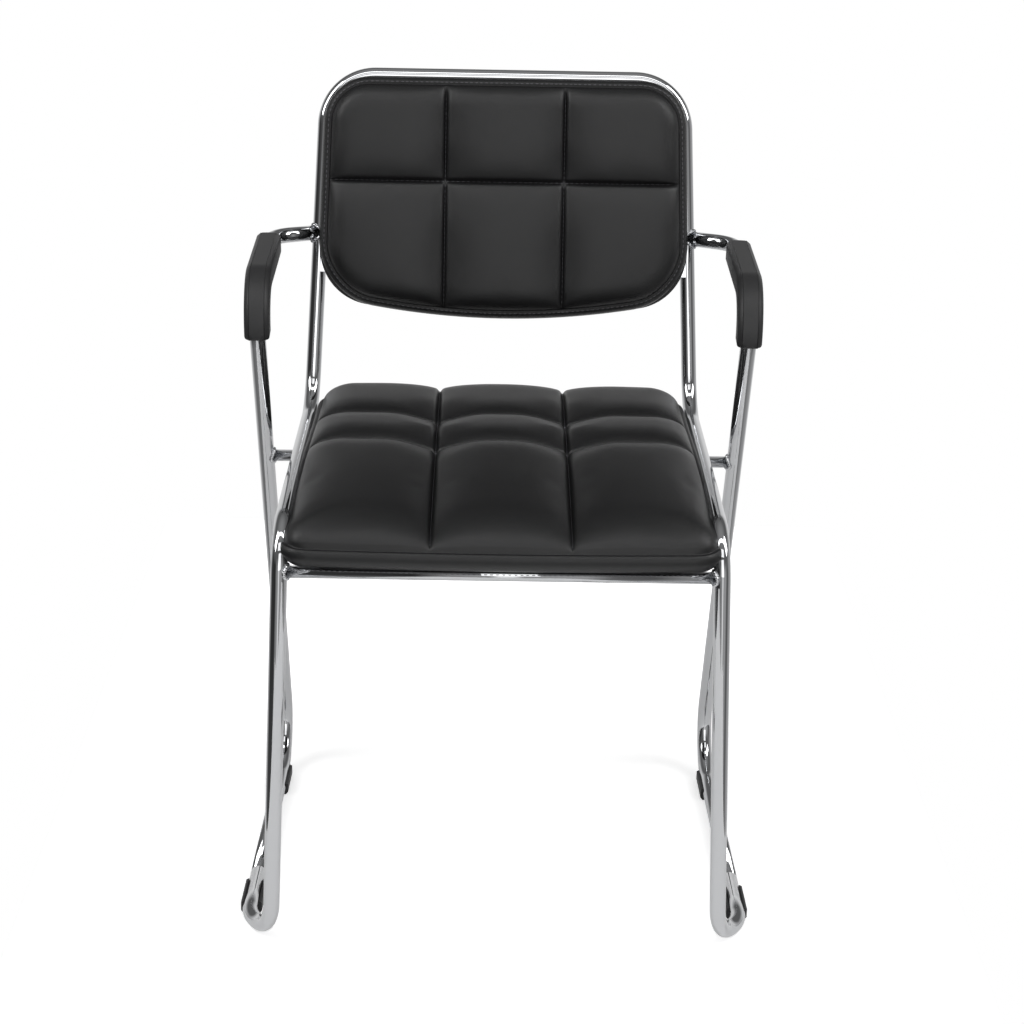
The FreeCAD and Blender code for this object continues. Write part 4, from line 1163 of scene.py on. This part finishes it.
@dataclass
class Studio:
    """The white studio: floor, surroundings, lamps and camera."""

    camera: CameraSizes

    def place_camera(self) -> None:
        """Set the scene's camera as fitted to the photograph."""
        sizes = self.camera
        pitch, yaw, roll = (math.radians(value) for value in (sizes.pitch, sizes.yaw, sizes.roll))
        level = Vector((-math.sin(yaw), math.cos(yaw), 0))
        ahead = level * math.cos(pitch) - Vector((0, 0, math.sin(pitch)))
        right = ahead.cross(Vector((0, 0, 1))).normalized()
        down = ahead.cross(right)
        across = right * math.cos(roll) - down * math.sin(roll)
        below = right * math.sin(roll) + down * math.cos(roll)
        data = bpy.data.cameras.new("camera")
        data.sensor_width = sizes.sensor
        data.lens = sizes.focal_pixels / sizes.picture * sizes.sensor
        camera = show("camera", data)
        turn = Matrix((across, -below, -ahead)).transposed().to_4x4()
        camera.matrix_world = Matrix.Translation(Vector(sizes.place)) @ turn
        bpy.context.scene.camera = camera

    def add_floor(self) -> None:
        """Lay a white floor that shows soft shadows only."""
        half, front, rear = FLOOR
        corners = [(-half, front, 0), (half, front, 0), (half, rear, 0), (-half, rear, 0)]
        mesh = bpy.data.meshes.new("floor")
        mesh.from_pydata(corners, [], [(0, 1, 2, 3)])
        material = bpy.data.materials.new("painted_studio_floor")
        material.use_nodes = True
        tree = material.node_tree
        tree.nodes.clear()
        add = partial(add_node, tree)
        ray = add("ShaderNodeLightPath")
        place = add("ShaderNodeNewGeometry").outputs["Position"]
        reach = add("ShaderNodeVectorMath", {0: place}, operation="LENGTH").outputs["Value"]
        spread = add("ShaderNodeMapRange", {"Value": reach, **FLOOR_LIFT}).outputs["Result"]
        seen = {0: ray.outputs["Is Camera Ray"], 1: spread}
        shown = add("ShaderNodeMath", seen, operation="MULTIPLY").outputs["Value"]
        parts = {0: ray.outputs["Is Glossy Ray"], 1: MIRRORED_LIFT, 2: shown}
        lift = add("ShaderNodeMath", parts, operation="MULTIPLY_ADD").outputs["Value"]
        paint = add("ShaderNodeBsdfDiffuse", {"Color": FLOOR_PAINT}).outputs["BSDF"]
        glow = add("ShaderNodeEmission", {"Color": WHITE, "Strength": lift}).outputs["Emission"]
        both = add("ShaderNodeAddShader", {0: paint, 1: glow}).outputs["Shader"]
        add("ShaderNodeOutputMaterial", {"Surface": both})
        mesh.materials.append(material)
        show("floor", mesh)

    def surround(self) -> None:
        """Light the scene from all round, with grey walls and dark gaps for the chrome to mirror."""
        world = bpy.data.worlds.new("studio")
        world.use_nodes = True
        bpy.context.scene.world = world
        tree = world.node_tree
        tree.nodes.clear()
        add = partial(add_node, tree)
        direction = add("ShaderNodeTexCoord").outputs["Generated"]
        parts = add("ShaderNodeSeparateXYZ", {"Vector": direction}).outputs
        front = add("ShaderNodeMath", {0: parts["Y"], 1: -1.0}, operation="MULTIPLY").outputs["Value"]
        azimuth = add("ShaderNodeMath", {0: parts["X"], 1: front}, operation="ARCTAN2").outputs["Value"]
        turn = self.share_of(tree, azimuth, math.pi)
        height = self.share_of(tree, parts["Z"], 1.0)
        walls = self.ramp(tree, turn, WALL_STOPS)
        levels = self.ramp(tree, height, HEIGHT_STOPS)
        mixed = mix_colours(tree, self.ramp(tree, height, WALL_MASK_STOPS), levels, walls)
        ray = add("ShaderNodeLightPath").outputs["Is Camera Ray"]
        seen = mix_colours(tree, ray, mixed, WHITE)
        glow = add("ShaderNodeBackground", {"Color": seen, "Strength": 1.0}).outputs["Background"]
        add("ShaderNodeOutputWorld", {"Surface": glow})

    @staticmethod
    def share_of(tree: NodeTree, value: NodeSocket, limit: float) -> NodeSocket:
        """Turn a value between minus and plus a limit into a share from 0 to 1."""
        inputs = {"Value": value, "From Min": -limit, "From Max": limit}
        return add_node(tree, "ShaderNodeMapRange", inputs).outputs["Result"]

    @staticmethod
    def ramp(
        tree: NodeTree, place: NodeSocket, stops: tuple
    ) -> NodeSocket:
        """Add a ramp with grey stops from pairs of position and brightness."""
        node = add_node(tree, "ShaderNodeValToRGB", {"Fac": place})
        ramp = node.color_ramp
        while len(ramp.elements) > 1:
            ramp.elements.remove(ramp.elements[-1])
        for number, (position, grey) in enumerate(stops):
            element = ramp.elements[0] if number == 0 else ramp.elements.new(position)
            element.position = position
            element.color = (grey, grey, grey, 1.0)
        return node.outputs["Color"]

    @staticmethod
    def add_lamp(lamp: Lamp) -> None:
        """Hang a soft box."""
        data = bpy.data.lights.new(lamp.name, "AREA")
        data.shape = "RECTANGLE"
        data.size, data.size_y = lamp.size
        data.energy = lamp.power
        place = Vector(lamp.place)
        turn = (Vector(lamp.target) - place).to_track_quat("-Z", "Y").to_matrix().to_4x4()
        show(lamp.name, data).matrix_world = Matrix.Translation(place) @ turn

    def build(self) -> None:
        """Set the camera, the floor, the surroundings and the lamps."""
        self.place_camera()
        self.add_floor()
        self.surround()
        for lamp in LAMPS:
            self.add_lamp(lamp)
        bpy.context.scene.view_settings.view_transform = "Standard"
        LOG.info("studio built")


# Brightness round the horizon: 0 and 1 lie behind the chair, 0.5 lies towards the camera
WALL_STOPS = (
    (0.0, 0.8),
    (0.12, 0.75),
    (0.18, 0.45),
    (0.23, 0.05),
    (0.38, 0.03),
    (0.43, 0.3),
    (0.485, 0.4),
    (0.5, 1.1),
    (0.52, 1.1),
    (0.535, 0.4),
    (0.62, 0.42),
    (0.655, 0.15),
    (0.7, 0.12),
    (0.75, 0.4),
    (0.84, 0.5),
    (0.88, 0.75),
    (1.0, 0.8),
)
# Brightness from straight down to straight up, away from the walls
HEIGHT_STOPS = ((0.0, 0.3), (0.4, 0.3), (0.5, 0.3), (0.7, 0.14), (0.85, 0.14), (1.0, 0.3))
# How much of the walls shows at each height
WALL_MASK_STOPS = ((0.0, 0.0), (0.2, 0.6), (0.3, 1.0), (0.56, 1.0), (0.72, 0.0), (1.0, 0.0))


# Assembly


class Chair:
    """The whole chair: the CAD pieces' materials and the pieces modelled again."""

    # From the hoop's centre line to the back pad's base: the tube's radius and the rear cover
    BACK_GAP = 10 * MM

    def __init__(self) -> None:
        """Make the parts' builders."""
        self.tubes = TubeFrame(TubeSizes(), WeldSizes())
        self.arm_pads = ArmPad(ArmPadSizes(), self.tubes)
        self.seat = QuiltedPad(SEAT_PAD, self.seat_place())
        self.back = QuiltedPad(BACK_PAD, self.back_place())

    @staticmethod
    def seat_place() -> Matrix:
        """The seat pad's plane: the board's flat underside."""
        _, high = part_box("seat_underside_cover")
        return Matrix.Translation(Vector((0, 0, high.z)))

    def back_place(self) -> Matrix:
        """The back pad's plane, which leans with the hoop, in front of the tube and the rear cover."""
        top = self.tubes.corner(self.tubes.sizes.hoop, RIGHT)
        low = self.tubes.corner(self.tubes.sizes.rail_rear, RIGHT)
        lean = math.atan2(top.y - low.y, top.z - low.z)
        plane = Matrix.Rotation(math.pi / 2 - lean, 4, "X")
        gap = Matrix.Translation(Vector((0, 0, self.BACK_GAP)))
        return Matrix.Translation(Vector((0, top.y, top.z))) @ plane @ gap

    def finish_cad_pieces(self) -> None:
        """Give every CAD piece the material of its slot."""
        slots = {item["node"]: item["material_slot"] for item in frame["record"]["subparts"]}
        for name, node in frame["nodes"].items():
            node.data.materials.clear()
            node.data.materials.append(material_of(SLOT_FINISHES[slots[name]]))

    def build(self) -> None:
        """Build every part in order."""
        self.finish_cad_pieces()
        self.tubes.build()
        self.seat.build()
        self.back.build()
        for word, side in SIDES.items():
            self.arm_pads.build(word, side)


def main() -> None:
    """Build the chair and its studio."""
    logging.basicConfig(level=logging.INFO, format="%(name)s: %(message)s")
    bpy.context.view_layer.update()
    Chair().build()
    Studio(CameraSizes()).build()


if __name__ == "__main__":
    main()
